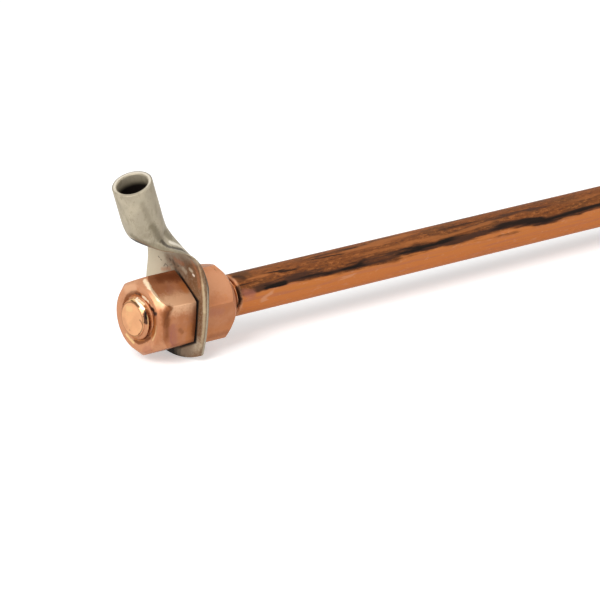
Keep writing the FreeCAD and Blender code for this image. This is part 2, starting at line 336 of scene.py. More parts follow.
def thread_rings(skin, rod, turns, low, high, radius_at):
    """Add a thread whose grid follows the helix, cut flat at both ends.

    Points beyond an end lie on that end's ring, where piece_from joins them."""
    steps = 16
    columns = []
    first = math.floor((low - rod.thread_phase) / rod.thread_pitch) - 1
    last = math.ceil((high - rod.thread_phase) / rod.thread_pitch) + 1
    for turn in turns:
        column = []
        for step in range((last - first) * steps + 1):
            x = rod.thread_phase + rod.thread_pitch * (first + step / steps + turn / FULL_TURN)
            x = min(max(x, low), high)
            skin.points.append(on_ring(x, radius_at(x, turn), turn))
            column.append(len(skin.points) - 1)
        columns.append(column)
    count = len(columns[0])
    for number, column in enumerate(columns):
        if number + 1 < len(columns):
            after = columns[number + 1]
        else:
            after = columns[0][steps:] + [columns[0][-1]] * steps
        for step in range(count - 1):
            skin.faces.append((column[step], column[step + 1], after[step + 1], after[step]))


# Rod


def rod_radius(rod, x, turn):
    """Radius of the threaded length: crests and roots, the end's bevel and the run-out."""
    crest = rod.thread_diameter / 2
    plain = 0.2 * MM
    run_out = 1 - blend(x, rod.thread_length - rod.thread_run_out, rod.thread_length - plain)
    threaded = crest - rod.thread_depth * thread_shape(rod, x, turn) * run_out
    face = rod.end_face_diameter / 2
    bevel = face + (crest - face) * x / rod.end_bevel_length
    return min(threaded, bevel)


def make_rod_mesh(rod):
    """Rod from its struck face through the thread and the shank to the point."""
    turns = even_turns(128)
    skin = Skin()
    face_radius = rod.end_face_diameter / 2
    edge = 0.35 * MM
    inner_share = 0.9
    rings = []
    for radius_share in (0.25, 0.5, 0.75, inner_share):
        rings.append(skin.ring([on_ring(0, face_radius * radius_share, turn) for turn in turns]))
    bevel = (rod.thread_diameter / 2 - face_radius) / rod.end_bevel_length
    corner = rounded([
        (0, face_radius * inner_share),
        (0, face_radius),
        (3 * edge, face_radius + 3 * edge * bevel),
    ], [edge], 4)
    for x, radius in corner[1:-1]:
        rings.append(skin.ring([on_ring(x, radius, turn) for turn in turns]))
    skin.join_all(rings)
    skin.cap(rings[0])
    start = corner[-2][0]
    thread_rings(skin, rod, turns, start, rod.thread_length, lambda x, turn: rod_radius(rod, x, turn))
    shank = rod.shank_diameter / 2
    tip = rod.point_tip_diameter / 2
    shoulder = 0.6 * MM
    shoulder_round, point_round, tip_round = 0.3 * MM, 8 * MM, 1.2 * MM
    profile = rounded([
        (rod.thread_length, rod.thread_diameter / 2),
        (rod.thread_length + shoulder, shank),
        (rod.length - rod.point_length, shank),
        (rod.length, tip),
        (rod.length, tip * 0.2),
    ], [shoulder_round, point_round, tip_round], 6)
    shank_steps = 120
    along = []
    for (x, radius), (after, _) in zip(profile, profile[1:]):
        along.append((x, radius))
        gap = after - x
        if gap > rod.length / 2:
            along += [(x + gap * step / shank_steps, radius) for step in range(1, shank_steps)]
    along.append(profile[-1])
    rings = [skin.ring([on_ring(x, radius, turn) for turn in turns]) for x, radius in along]
    skin.join_all(rings)
    skin.cap(rings[-1])
    return piece_from("rod_bar", skin.points, skin.faces)


# Nuts


def hexagon_turns(start):
    """Turns round a hexagon, close together at its corners."""
    offsets = [0, 0.6, 1.2, 1.8, 2.6, 4, 6, 8.5, 11, 14, 17, 20, 23, 26.5, 30]
    half = offsets + [60 - offset for offset in offsets[-2:0:-1]]
    return [start + math.radians(60 * side + offset) for side in range(6) for offset in half]


def hexagon_radius(nut, turn, start):
    """Distance of the nut's side from the axis at this turn, with its rounded corners."""
    sixth = math.radians(60)
    half = sixth / 2
    off_corner = abs((turn - start + half) % sixth - half)
    apothem = nut.across_flats / 2
    corner = nut.corner_round
    centre = (apothem - corner) / math.cos(half)
    tangent = math.atan2(corner * math.sin(half), centre + corner * math.cos(half))
    if off_corner >= tangent:
        return apothem / math.cos(half - off_corner)
    across = centre * math.sin(off_corner)
    return centre * math.cos(off_corner) + math.sqrt(corner ** 2 - across ** 2)


def make_nut_mesh(name, nut, rod, outer_x, start, facing):
    """Nut from its outer face at outer_x, which looks to -X (facing 1) or +X (facing -1)."""
    turns = hexagon_turns(start)
    skin = Skin()
    face_radius = nut.across_flats / 2 - nut.face_inset
    seat_radius = nut.across_flats / 2 - nut.seat_inset
    bore_gap = 0.05 * MM
    bore = rod.thread_diameter / 2 + bore_gap
    root = bore - rod.thread_depth + 2 * nut.thread_clearance
    flank_steepness = 1.25
    slope = math.tan(nut.countersink_angle)
    seat_mouth = bore + nut.seat_countersink
    edge = nut.edge_round
    outer_edge = edge * 1.6

    def place(depth):
        return outer_x + facing * depth

    def mouth(turn):
        return bore + nut.countersink + nut.countersink_shift * math.cos(turn - nut.countersink_side)

    columns = []
    for turn in turns:
        side = hexagon_radius(nut, turn, start)
        profile = rounded([
            (0, mouth(turn)),
            (0, face_radius),
            ((side - face_radius) * math.tan(nut.bevel_angle), side),
            (nut.thickness - (side - seat_radius) * math.tan(nut.seat_bevel_angle), side),
            (nut.thickness, seat_radius),
            (nut.thickness, seat_mouth),
        ], [outer_edge, outer_edge, edge, edge], 4)
        columns.append([on_ring(place(depth), radius, turn) for depth, radius in profile])
    rings = [skin.ring([column[number] for column in columns]) for number in range(len(columns[0]))]
    skin.join_all(rings)

    def bore_radius(x, turn):
        depth = (x - outer_x) * facing
        cut = bore - (bore - root) * min(thread_shape(rod, x, turn) * flank_steepness, 1)
        return max(cut, mouth(turn) - depth * slope, seat_mouth - (nut.thickness - depth))

    low_end, high_end = sorted((place(0), place(nut.thickness)))
    thread_rings(skin, rod, turns, low_end, high_end, bore_radius)
    return piece_from(name, skin.points, skin.faces)


# Lug


class LugShape:
    """The lug upright, its palm's front face at x = 0 and the rod's axis through the origin."""

    def __init__(self, lug):
        self.lug = lug
        lean = lug.barrel_lean
        self.down = Vector((math.sin(lean), 0, -math.cos(lean)))
        self.rearward = Vector((math.cos(lean), 0, math.sin(lean)))
        self.radius = lug.barrel_diameter / 2
        self.bore_radius = self.radius - lug.barrel_wall
        self.mouth = Vector((-lug.mouth_forward, 0, lug.mouth_height))
        self.barrel_end = self.mouth + self.down * lug.barrel_straight
        self.half_palm = lug.palm_width / 2
        self.half_top = lug.top_width / 2

    def walls(self, fraction):
        """Points of the rear and the front wall in the middle plane."""
        lug = self.lug
        rear_foot = Vector((lug.palm_thickness, 0, lug.palm_top))
        front_foot = Vector((0, 0, lug.palm_top))
        up = Vector((0, 0, 1))
        rear_start = self.barrel_end + self.rearward * self.radius
        front_start = self.barrel_end - self.rearward * self.radius
        rest = 1 - fraction
        shares = (rest ** 3, 3 * rest ** 2 * fraction, 3 * rest * fraction ** 2, fraction ** 3)
        points = []
        for start, high, low, foot in (
            (rear_start, lug.rear_pull_high, lug.rear_pull_low, rear_foot),
            (front_start, lug.chin_pull_high, lug.chin_pull_low, front_foot),
        ):
            curve = (start, start + self.down * high, foot + up * low, foot)
            points.append(sum((point * part for point, part in zip(curve, shares)), Vector()))
        return points

    def half_width(self, height):
        """Half the palm's width at this height: widest a little above the rod, drawn in above and below."""
        lug = self.lug
        above = max((height - lug.palm_widest) / (lug.palm_top - lug.palm_widest), 0)
        below = max((lug.palm_widest - height) / (lug.palm_widest + lug.palm_reach), 0)
        return self.half_palm - (self.half_palm - self.half_top) * above ** 2 - lug.foot_inset * below ** 2

    def neck_half_width(self, fraction):
        """Half the neck's width: the barrel's, then a flare that runs into the palm's sides."""
        lug = self.lug
        part = max((fraction - lug.flare_start) / (1 - lug.flare_start), 0)
        growth = self.half_top - self.radius
        palm_slope = 2 * (self.half_palm - self.half_top) / (lug.palm_top - lug.palm_widest)
        end_slope = palm_slope * 3 * lug.chin_pull_low * (1 - lug.flare_start) / growth
        start_share = part ** 3 - 2 * part ** 2 + part
        end_share = part ** 3 - part ** 2
        rise = 3 * part ** 2 - 2 * part ** 3
        return self.radius + growth * (lug.flare_slope * start_share + rise + end_slope * end_share)

    def middle(self, fraction):
        """How far the neck stands to the left."""
        return self.lug.bow * math.sin(math.pi * fraction) ** 2

    def section_angles(self, half_width):
        """Angles round a section: close together on both rims, wider between them."""
        rim_steps, wall_steps = 8, 40
        rim = math.acos(1 - self.lug.palm_thickness / 2 / half_width)
        steps = [rim / rim_steps] * rim_steps + [(math.pi - 2 * rim) / wall_steps] * wall_steps
        steps += [rim / rim_steps] * rim_steps
        angles = [0.0]
        for step in steps + steps[:-1]:
            angles.append(angles[-1] + step)
        return angles

    def neck_section(self, fraction):
        """Section of the neck: round at the barrel, then flat in front with a dome and two wings behind."""
        lug = self.lug
        rear, front = self.walls(fraction)
        across = rear - front
        depth = across.length
        across.normalize()
        half_width = self.neck_half_width(fraction)
        edge = lug.palm_thickness / 2
        rim_share = blend(fraction, 0, lug.rim_end)
        rim_depth = (1 - rim_share) * depth / 2 + rim_share * edge
        front_share = blend(fraction, lug.flat_front_start, lug.flat_front_end)
        rear_share = blend(fraction, lug.flat_rear_start, lug.flat_rear_end)
        dome_reach = (half_width - edge) * (lug.dome_high + (lug.dome_low - lug.dome_high) * fraction)
        points = []
        for turn in self.section_angles(half_width):
            side = half_width * math.cos(turn)
            roundness = abs(math.sin(turn))
            into_edge = min(max(abs(side) - (half_width - edge), 0), edge)
            flatness = math.sqrt(1 - (into_edge / edge) ** 2)
            if math.sin(turn) >= 0:
                deep = rim_depth * (1 - (1 - front_share) * roundness - front_share * flatness)
            else:
                dome = 1 - min(abs(side) / dome_reach, 1) ** lug.dome_round
                round_rise = (depth - rim_depth) * roundness
                flat_rise = edge * flatness + (depth - rim_depth - edge) * dome
                deep = rim_depth + (1 - rear_share) * round_rise + rear_share * flat_rise
            points.append(front + across * deep + Y_AXIS * (self.middle(fraction) + side))
        return points

    def barrel_section(self, down, radius, angles):
        """Circle round the barrel's axis, this far below the mouth, slanted less and less like its cut."""
        lug = self.lug
        centre = self.mouth + self.down * down
        slant = math.tan(lug.mouth_slant) * (1 - down / lug.barrel_straight)
        points = []
        for turn in angles:
            out = Y_AXIS * radius * math.cos(turn) - self.rearward * radius * math.sin(turn)
            lowest = -Y_AXIS * math.sin(lug.mouth_slant_side) - self.rearward * math.cos(lug.mouth_slant_side)
            points.append(centre + out + self.down * out.dot(lowest) * slant)
        return points

    def foot_height(self, side):
        """Height of the palm's end at this distance from the middle: an arc with rounded corners."""
        lug = self.lug
        arc_centre = lug.foot_radius - lug.palm_reach
        half = self.half_palm
        side = min(abs(side), half)
        corner = lug.foot_corner
        # The corner's circle touches the side's line and the arc from inside.
        corner_side = half - corner
        corner_height = arc_centre - math.sqrt((lug.foot_radius - corner) ** 2 - corner_side ** 2)
        touch = corner_side * lug.foot_radius / (lug.foot_radius - corner)
        if side <= touch:
            return arc_centre - math.sqrt(lug.foot_radius ** 2 - side ** 2)
        return corner_height - math.sqrt(max(corner ** 2 - (side - corner_side) ** 2, 0))

    def palm_section(self, part):
        """Section of the palm, flat at its top (part 0) and along the foot's arc at its end (part 1)."""
        lug = self.lug
        edge = lug.palm_thickness / 2
        plain_height = lug.palm_top - (lug.palm_top + lug.palm_reach) * part
        half_width = self.half_width(plain_height)
        points = []
        for turn in self.section_angles(half_width):
            side = half_width * math.cos(turn)
            height = lug.palm_top + (self.foot_height(side) - lug.palm_top) * part
            half_here = self.half_width(height)
            side = half_here * math.cos(turn)
            into_edge = min(max(abs(side) - (half_here - edge), 0), edge)
            edge_height = math.sqrt(edge ** 2 - into_edge ** 2)
            x = edge - edge_height if math.sin(turn) >= 0 else edge + edge_height
            points.append(Vector((x, side, height)))
        return points

    def bore_section(self, fraction, angles):
        """Section of the hollow inside the neck, an ellipse that closes downwards."""
        lug = self.lug
        rear, front = self.walls(fraction)
        part = fraction / lug.bore_end
        half_width = self.bore_radius + (lug.bore_end_half_width - self.bore_radius) * part
        half_depth = self.bore_radius + (lug.bore_end_half_depth - self.bore_radius) * part
        place = 0.5 + (lug.bore_end_place - 0.5) * part
        middle = front + (rear - front) * place + Y_AXIS * self.middle(fraction)
        across = (front - rear).normalized()
        points = []
        for turn in angles:
            out = across * half_depth * math.sin(turn)
            points.append(middle + out + Y_AXIS * half_width * math.cos(turn))
        return points


def lug_move(lug):
    """Turn and place that bring the upright lug onto the rod."""
    return Matrix.Translation((lug.front_x, 0, 0)) @ Matrix.Rotation(lug.turn, 4, "X")


def make_lug_mesh(lug):
    """Lug in one skin: hollow, mouth, barrel, neck and palm, bored for the rod."""
    shape = LugShape(lug)
    round_angles = shape.section_angles(shape.radius)
    skin = Skin()
    rings = []
    bore_steps, neck_steps, palm_steps = 24, 64, 30
    for step in range(bore_steps, 0, -1):
        rings.append(skin.ring(shape.bore_section(lug.bore_end * step / bore_steps, round_angles)))
    outer_edge = lug.mouth_edge
    inner_edge = 3 * outer_edge
    profile = rounded([
        (lug.barrel_straight, shape.bore_radius),
        (0, shape.bore_radius),
        (0, shape.radius),
        (lug.barrel_straight, shape.radius),
    ], [inner_edge, outer_edge], 5)
    for down, radius in profile:
        rings.append(skin.ring(shape.barrel_section(down, radius, round_angles)))
    for step in range(1, neck_steps + 1):
        rings.append(skin.ring(shape.neck_section(step / neck_steps)))
    for step in range(1, palm_steps + 1):
        rings.append(skin.ring(shape.palm_section(step / palm_steps)))
    skin.join_all(rings)
    skin.cap(rings[0])
    last = rings[-1]
    count = len(last)
    for number in range(count // 2):
        opposite = (count - number) % count
        if number == 0:
            face = (last[0], last[1], last[count - 1])
        elif number == count // 2 - 1:
            face = (last[number], last[number + 1], last[opposite])
        else:
            face = (last[number], last[number + 1], last[opposite - 1], last[opposite])
        skin.faces.append(face)
    move = lug_move(lug)
    piece = piece_from("lug_body", [move @ point for point in skin.points], skin.faces)
    cut_rod_hole(piece, lug)
    return piece


def cut_rod_hole(piece, lug):
    """Bore the palm for the rod with a cylinder along its axis."""
    skin = Skin()
    turns = even_turns(96)
    middle = lug.front_x + lug.palm_thickness / 2
    reach = lug.palm_thickness
    rings = []
    for x in (middle - reach, middle + reach):
        rings.append(skin.ring([on_ring(x, lug.hole_radius, turn) for turn in turns]))
    skin.join_all(rings)
    for ring in rings:
        skin.cap(ring)
    cutter = piece_from("rod_hole", skin.points, skin.faces)
    cut = piece.modifiers.new("Rod hole", "BOOLEAN")
    cut.operation = "DIFFERENCE"
    cut.object = cutter
    bpy.context.view_layer.update()
    shaped = bpy.data.meshes.new_from_object(piece.evaluated_get(bpy.context.evaluated_depsgraph_get()))
    piece.modifiers.clear()
    piece.data = shaped
    bpy.data.objects.remove(cutter)


# Materials


class Paint:
    """A material under construction: its surface shader and the nodes that feed it."""

    def __init__(self, name):
        self.material = bpy.data.materials.new(name)
        self.material.use_nodes = True
        self.tree = self.material.node_tree
        self.surface = self.tree.nodes["Principled BSDF"]
        # the place in millimetres, and a noise about zero that frays borders
        where = self.add("ShaderNodeTexCoord")
        self.place = self.vector("SCALE", where.outputs["Object"], scale=1 / MM)
        self.ragged = self.math("SUBTRACT", self.noise(0.9, detail=3.0, roughness=0.6), 0.5)

    def add(self, kind, **settings):
        node = self.tree.nodes.new(kind)
        for setting, value in settings.items():
            setattr(node, setting, value)
        return node

    def put(self, target, value):
        """Feed a socket from an output, or set it to a plain value."""
        if isinstance(value, bpy.types.NodeSocket):
            self.tree.links.new(value, target)
        else:
            target.default_value = value

    def math(self, operation, *values):
        node = self.add("ShaderNodeMath", operation=operation)
        for target, value in zip(node.inputs, values):
            self.put(target, value)
        return node.outputs[0]

    def vector(self, operation, *values, scale=None):
        node = self.add("ShaderNodeVectorMath", operation=operation)
        for target, value in zip(node.inputs, values):
            self.put(target, value)
        if scale is not None:
            self.put(node.inputs["Scale"], scale)
        return node.outputs["Value" if operation in ("DOT_PRODUCT", "LENGTH") else "Vector"]

    def stretched(self, x, y, z):
        """The place in millimetres, times these factors."""
        return self.vector("MULTIPLY", self.place, (x, y, z))

    def noise(self, scale, place=None, detail=4.0, roughness=0.55):
        node = self.add("ShaderNodeTexNoise")
        self.put(node.inputs["Vector"], place or self.place)
        self.put(node.inputs["Scale"], scale)
        self.put(node.inputs["Detail"], detail)
        self.put(node.inputs["Roughness"], roughness)
        return node.outputs["Fac"]

    def between(self, value, low, high, at_low=0.0, at_high=1.0):
        """Map a value smoothly from the range low..high, clamped."""
        node = self.add("ShaderNodeMapRange", interpolation_type="SMOOTHSTEP", clamp=True)
        for target, number in zip(node.inputs, (value, low, high, at_low, at_high)):
            self.put(target, number)
        return node.outputs[0]

    def both(self, first, *others):
        for other in others:
            first = self.math("MULTIPLY", first, other)
        return first

    def mix(self, factor, first, second):
        node = self.add("ShaderNodeMix", data_type="RGBA")
        for number, value in ((0, factor), (6, first), (7, second)):
            if not isinstance(value, (bpy.types.NodeSocket, float, int)):
                value = (*value, 1.0)
            self.put(node.inputs[number], value)
        return node.outputs[2]

    def parts(self):
        node = self.add("ShaderNodeSeparateXYZ")
        self.put(node.inputs[0], self.place)
        return node.outputs

    def turn(self):
        """Angle about the rod from the top towards -Y, in degrees."""
        _, y, z = self.parts()
        angle = self.math("ARCTAN2", self.math("MULTIPLY", y, -1.0), z)
        return self.math("MULTIPLY", angle, math.degrees(1))

    def radius(self):
        """Distance from the rod's axis."""
        return self.vector("LENGTH", self.stretched(0, 1, 1))

    def hexagon(self, start):
        """Distance from the axis to the flats of the hexagon through here, with a corner at this turn."""
        fold = self.math("SUBTRACT", self.turn(), math.degrees(start))
        fold = self.math("SUBTRACT", self.math("FLOORED_MODULO", fold, 60.0), 30.0)
        cosine = self.math("COSINE", self.math("MULTIPLY", fold, math.radians(1)))
        return self.math("MULTIPLY", self.radius(), cosine)

    def patches(self, base, rows):
        """Lay patches over the base. A row holds a noise, the two values between which the patch sets in,
        its strength and its colour."""
        for noise, low, high, strength, tint in rows:
            base = self.mix(self.between(noise, low, high, 0.0, strength), base, tint)
        return base

    def line(self, start, end, width, fade):
        """Mask of a smear this wide from start to end, with a ragged border that fades out."""
        start, run = Vector(start), Vector(end) - Vector(start)
        off = self.vector("SUBTRACT", self.place, start)
        if run.length > 0:
            along = self.vector("DOT_PRODUCT", off, run / run.length_squared)
            along = self.math("MINIMUM", self.math("MAXIMUM", along, 0.0), 1.0)
            off = self.vector("SUBTRACT", off, self.vector("SCALE", run, scale=along))
        distance = self.vector("LENGTH", off)
        distance = self.math("ADD", distance, self.math("MULTIPLY", self.ragged, width + fade * 0.5))
        return self.between(distance, width / 2, width / 2 + fade, 1.0, 0.0)

    def marks(self, base, rows):
        """Lay marks over the base. A row holds a colour, its strength, width, fade and points."""
        for tint, strength, width, fade, points in rows:
            ends = points[1:] or points
            masks = [self.line(start, end, width, fade) for start, end in zip(points, ends)]
            mask = masks[0]
            for other in masks[1:]:
                mask = self.math("MAXIMUM", mask, other)
            base = self.mix(self.math("MULTIPLY", mask, strength), base, tint)
        return base

    def streaks(self, base, turn, rows):
        """Lay lengthwise streaks on the rod. A row holds a colour, its strength, x and turn at both
        ends, half the width in degrees, and the fade along x."""
        x = self.parts()[0]
        comb = self.math("SUBTRACT", self.noise(0.5, self.stretched(0.06, 1.0, 1.0), detail=5.0), 0.5)
        for tint, strength, start, end, half, fade in rows:
            share = self.math("DIVIDE", self.math("SUBTRACT", x, start[0]), end[0] - start[0])
            middle = self.math("ADD", self.math("MULTIPLY", share, end[1] - start[1]), start[1])
            off = self.math("ABSOLUTE", self.math("SUBTRACT", turn, middle))
            mask = self.both(
                self.between(off, half * 0.1, half * 1.7, 1.0, 0.0),
                self.between(x, start[0] - fade, start[0] + fade),
                self.between(x, end[0] - fade, end[0] + fade, 1.0, 0.0))
            mask = self.math("ADD", mask, self.both(comb, 2.2, self.math("GREATER_THAN", mask, 0.01)))
            base = self.mix(self.math("MULTIPLY", self.between(mask, 0.1, 0.95), strength), base, tint)
        return base

    def ring(self, radius, low, high, fade):
        """Mask of a band round the rod's axis."""
        radius = self.math("ADD", radius, self.math("MULTIPLY", self.ragged, fade))
        inside = self.between(radius, high, high + fade, 1.0, 0.0)
        return self.both(self.between(radius, low - fade, low), inside)

    def bump(self, height, distance, strength, normal=None):
        node = self.add("ShaderNodeBump")
        self.put(node.inputs["Height"], height)
        self.put(node.inputs["Distance"], distance)
        self.put(node.inputs["Strength"], strength)
        if normal:
            self.put(node.inputs["Normal"], normal)
        return node.outputs[0]

    def finish(self, base, roughness, metallic, normal, sheen=(1.0, 1.0, 1.0), gloss=0.5):
        self.put(self.surface.inputs["Specular Tint"], (*sheen, 1.0))
        self.put(self.surface.inputs["Specular IOR Level"], gloss)
        self.put(self.surface.inputs["Base Color"], base)
        self.put(self.surface.inputs["Roughness"], roughness)
        self.put(self.surface.inputs["Metallic"], metallic)
        self.put(self.surface.inputs["Normal"], normal)
        return self.material


def paint_rod(finish, rod):
    """Copper: bright struck end, a painted bright reflection on the lower side, tarnish with painted dark
    reflection above, and a black streak of painted reflection between.
    """
    paint = Paint("rod copper")
    x = paint.parts()[0]
    wander = paint.noise(0.3, paint.stretched(0.12, 1.0, 1.0), detail=5.0)
    turn = paint.math("ADD", paint.turn(), paint.between(wander, 0.3, 0.7, -8.0, 8.0))
    radius = paint.radius()
    streaky = paint.stretched(0.05, 1.0, 1.0)

    blotches = paint.noise(0.16, paint.stretched(0.35, 1.0, 1.0), detail=6.0, roughness=0.6)
    mottles = paint.noise(0.5, paint.stretched(0.35, 1.0, 1.0), detail=6.0, roughness=0.7)
    flecks = paint.noise(1.4, paint.stretched(0.3, 1.0, 1.0), detail=5.0, roughness=0.7)
    rubbed = paint.noise(0.3, streaky, detail=5.0)
    dark_lines = paint.noise(0.55, paint.stretched(0.04, 1.0, 1.0), detail=5.0)
    tarnish = paint.patches(finish.copper_brown_and_reflection, (
        (blotches, 0.44, 0.66, 0.7, finish.copper_olive),
        (mottles, 0.52, 0.64, 0.7, finish.copper_gold),
        (flecks, 0.54, 0.64, 0.6, finish.copper_gold),
        (flecks, 0.46, 0.36, 0.7, finish.copper_smoke_and_reflection),
        (rubbed, 0.52, 0.68, 0.6, finish.copper_gold),
        (dark_lines, 0.54, 0.64, 0.85, finish.copper_black_and_shade),
    ))

    orange_lines = paint.noise(0.35, streaky, detail=6.0)
    pink_lines = paint.noise(1.1, paint.stretched(0.03, 1.0, 1.0), detail=4.0)
    bright = paint.patches(finish.copper_bright_reflection, (
        (orange_lines, 0.42, 0.7, 0.4, finish.copper_orange),
        (mottles, 0.56, 0.66, 0.5, finish.copper_nut),
        (pink_lines, 0.5, 0.7, 0.5, finish.copper_pink),
        (flecks, 0.58, 0.68, 0.4, finish.copper_nut),
    ))
    # painted reflection: the bright side runs from the front round the bottom to a little behind it
    from_front = paint.between(turn, 74.0, 82.0)
    past_bottom = paint.between(turn, -172.0, -150.0, 1.0, 0.0)
    lower = paint.math("MAXIMUM", from_front, past_bottom)
    base = paint.mix(lower, tarnish, bright)
    base = paint.streaks(base, turn, (
        # painted dark reflection: the band above the bright side, blackest in places
        (finish.copper_smoke_and_reflection, 0.9, (50.0, 66.0), (1100.0, 62.0), 11.0, 6.0),
        (finish.copper_black_and_shade, 0.9, (72.0, 68.0), (92.0, 66.0), 5.0, 8.0),
        (finish.copper_black_and_shade, 1.0, (56.0, 72.0), (67.0, 71.0), 9.0, 1.6),
        (finish.copper_black_and_shade, 1.0, (57.0, 71.0), (65.0, 70.0), 6.0, 1.6),
        (finish.copper_black_and_shade, 1.0, (92.0, 66.0), (106.0, 64.0), 7.0, 4.0),
        (finish.copper_black_and_shade, 1.0, (119.0, 66.0), (150.0, 58.0), 8.0, 6.0),
        (finish.copper_black_and_shade, 0.9, (170.0, 65.0), (230.0, 63.0), 7.0, 6.0),
        (finish.copper_black_and_shade, 0.8, (300.0, 64.0), (420.0, 66.0), 6.0, 20.0),
        (finish.copper_black_and_shade, 0.8, (560.0, 62.0), (700.0, 66.0), 6.0, 30.0),
        (finish.copper_black_and_shade, 0.8, (850.0, 64.0), (980.0, 62.0), 6.0, 30.0),
        # thinner streaks and a dull patch above it
        (finish.copper_olive, 0.85, (46.0, 10.0), (54.0, 10.0), 30.0, 2.0),
        (finish.copper_black_and_shade, 0.9, (58.0, 24.0), (73.0, 40.0), 4.0, 3.0),
        (finish.copper_black_and_shade, 0.85, (79.0, 12.0), (98.0, 32.0), 4.0, 4.0),
        (finish.copper_smoke_and_reflection, 0.8, (150.0, 36.0), (205.0, 26.0), 5.0, 8.0),
        (finish.copper_gold, 0.9, (50.0, 38.0), (61.0, 34.0), 7.0, 2.0),
        (finish.copper_gold, 0.8, (100.0, 22.0), (135.0, 12.0), 7.0, 8.0),
        (finish.copper_gold, 0.7, (128.0, 44.0), (172.0, 36.0), 6.0, 6.0),
        # light patches on the bright side
        (finish.copper_nut, 0.8, (54.0, 104.0), (60.0, 92.0), 5.0, 1.5),
        (finish.copper_nut, 0.6, (92.0, 94.0), (100.0, 90.0), 3.0, 2.0),
        (finish.copper_orange, 0.7, (68.0, 96.0), (88.0, 93.0), 5.0, 5.0),
    ))

    thread_end = rod.thread_length / MM
    crest = rod.thread_diameter / 2 / MM
    face_radius = rod.end_face_diameter / 2 / MM
    bevel_end = rod.end_bevel_length / MM
    threaded = paint.between(x, thread_end - 0.5, thread_end + 0.7, 1.0, 0.0)
    on_crest = paint.between(radius, crest - 0.95, crest - 0.15)
    thread = paint.mix(on_crest, finish.copper_deep_and_shade, finish.copper_nut)
    thread = paint.patches(thread, ((mottles, 0.5, 0.62, 0.6, finish.copper_orange),))
    near_end = paint.between(x, bevel_end, bevel_end + 1.0, 1.0, 0.0)
    thread = paint.mix(near_end, thread, finish.copper_nut)
    base = paint.mix(threaded, base, thread)
    struck = paint.between(x, 0.25, 0.6, 1.0, 0.0)
    face = paint.patches(finish.copper_face, (
        (blotches, 0.35, 0.65, 0.4, finish.copper_nut),
        (mottles, 0.54, 0.7, 0.5, finish.copper_straw_and_highlight),
    ))
    base = paint.mix(struck, base, face)
    face_edge = paint.ring(radius, face_radius - 0.2, face_radius, 0.25)
    base = paint.mix(paint.both(struck, face_edge, 0.6), base, finish.copper_olive)
    base = paint.marks(base, (
        # thread behind the back nut: light turns above, black below
        (finish.copper_black_and_shade, 0.9, 0.8, 1.2, ((44.4, -6.2, 4.6), (44.3, -7.3, 0.6), (43.4, -7.7, -1.7))),
        (finish.copper_orange, 0.8, 0.6, 0.9, ((42.0, -5.7, 4.9), (42.2, -7.0, 2.8))),
        (finish.copper_black_and_shade, 0.6, 0.8, 1.6, ((46.0, -2.2, 7.6), (49.0, -3.6, 7.0))),
        (finish.copper_pink, 0.7, 1.0, 2.0, ((47.0, -7.5, 2.4), (50.0, -7.6, 1.6))),
        # struck end: straw and white painted highlights on the bevel, black patches beside it
        (finish.copper_straw_and_highlight, 0.9, 1.6, 0.8,
         ((1.6, 2.2, 7.1), (1.4, -0.8, 7.3), (1.4, -3.2, 6.8), (1.4, -6.0, 4.6))),
        (finish.painted_white_highlight, 1.0, 1.1, 0.5, ((2.2, 0.3, 7.2), (1.3, -3.0, 6.6), (1.2, -4.9, 5.4))),
        (finish.painted_pale_highlight, 0.9, 0.5, 0.6, ((2.5, 0.1, 6.9), (2.6, -3.4, 6.0))),
        (finish.copper_olive, 0.9, 0.25, 0.35, ((2.2, -1.4, 7.5), (2.2, -4.4, 6.3), (2.1, -6.2, 4.5))),
        (finish.copper_olive, 0.9, 0.4, 0.35, ((0.6, 1.0, 6.6), (0.4, -1.6, 6.4), (0.4, -3.6, 5.5))),
        (finish.copper_olive, 0.8, 0.5, 0.6, ((1.5, 3.8, 6.2), (1.6, 1.8, 7.0))),
        (finish.copper_smoke_and_reflection, 0.95, 0.9, 0.5, ((1.0, -6.3, 4.2), (0.9, -6.7, 2.4), (1.0, -6.9, 0.2))),
        (finish.copper_black_and_shade, 1.0, 0.7, 0.4, ((1.4, -6.7, 3.6), (1.2, -7.0, 2.0))),
        (finish.copper_straw_and_highlight, 0.8, 0.3, 0.4, ((1.9, -7.1, 3.0), (1.9, -7.4, 0.6), (1.9, -7.2, -2.2))),
        (finish.copper_orange, 0.8, 0.4, 0.6, ((2.6, -7.5, 1.0), (2.6, -7.3, -2.4), (2.4, -5.6, -5.2))),
        (finish.copper_brown_and_reflection, 0.6, 0.2, 0.4, ((0.5, -4.4, -5.0), (0.8, -1.0, -6.8), (1.2, 2.0, -6.8))),
        # dents in the struck face
        (finish.copper_deep_and_shade, 0.8, 0.3, 0.25, ((0.0, -5.6, 0.0), (0.0, -6.0, -0.7))),
        (finish.copper_olive, 0.6, 0.3, 0.3, ((0.0, -4.6, 0.7), (0.0, -5.4, 0.4))),
        (finish.copper_deep_and_shade, 0.7, 0.25, 0.2, ((0.0, -3.8, -4.8), (0.0, -4.5, -4.3))),
        (finish.copper_deep_and_shade, 0.5, 0.2, 0.2, ((0.0, 1.6, -4.4), (0.0, 1.2, -4.6))),
        (finish.copper_straw_and_highlight, 0.7, 0.8, 1.2, ((0.0, 2.6, 3.4), (0.0, 0.4, 3.9))),
        (finish.copper_pink, 0.3, 0.8, 1.5, ((0.0, 4.6, -1.4), (0.0, 3.8, -3.6))),
    ))
    grain = paint.noise(2.6, paint.stretched(0.05, 1.0, 1.0), detail=3.0)
    normal = paint.bump(grain, 0.00006, 0.5)
    normal = paint.bump(paint.noise(1.4, detail=4.0), 0.00008, 0.4, normal)
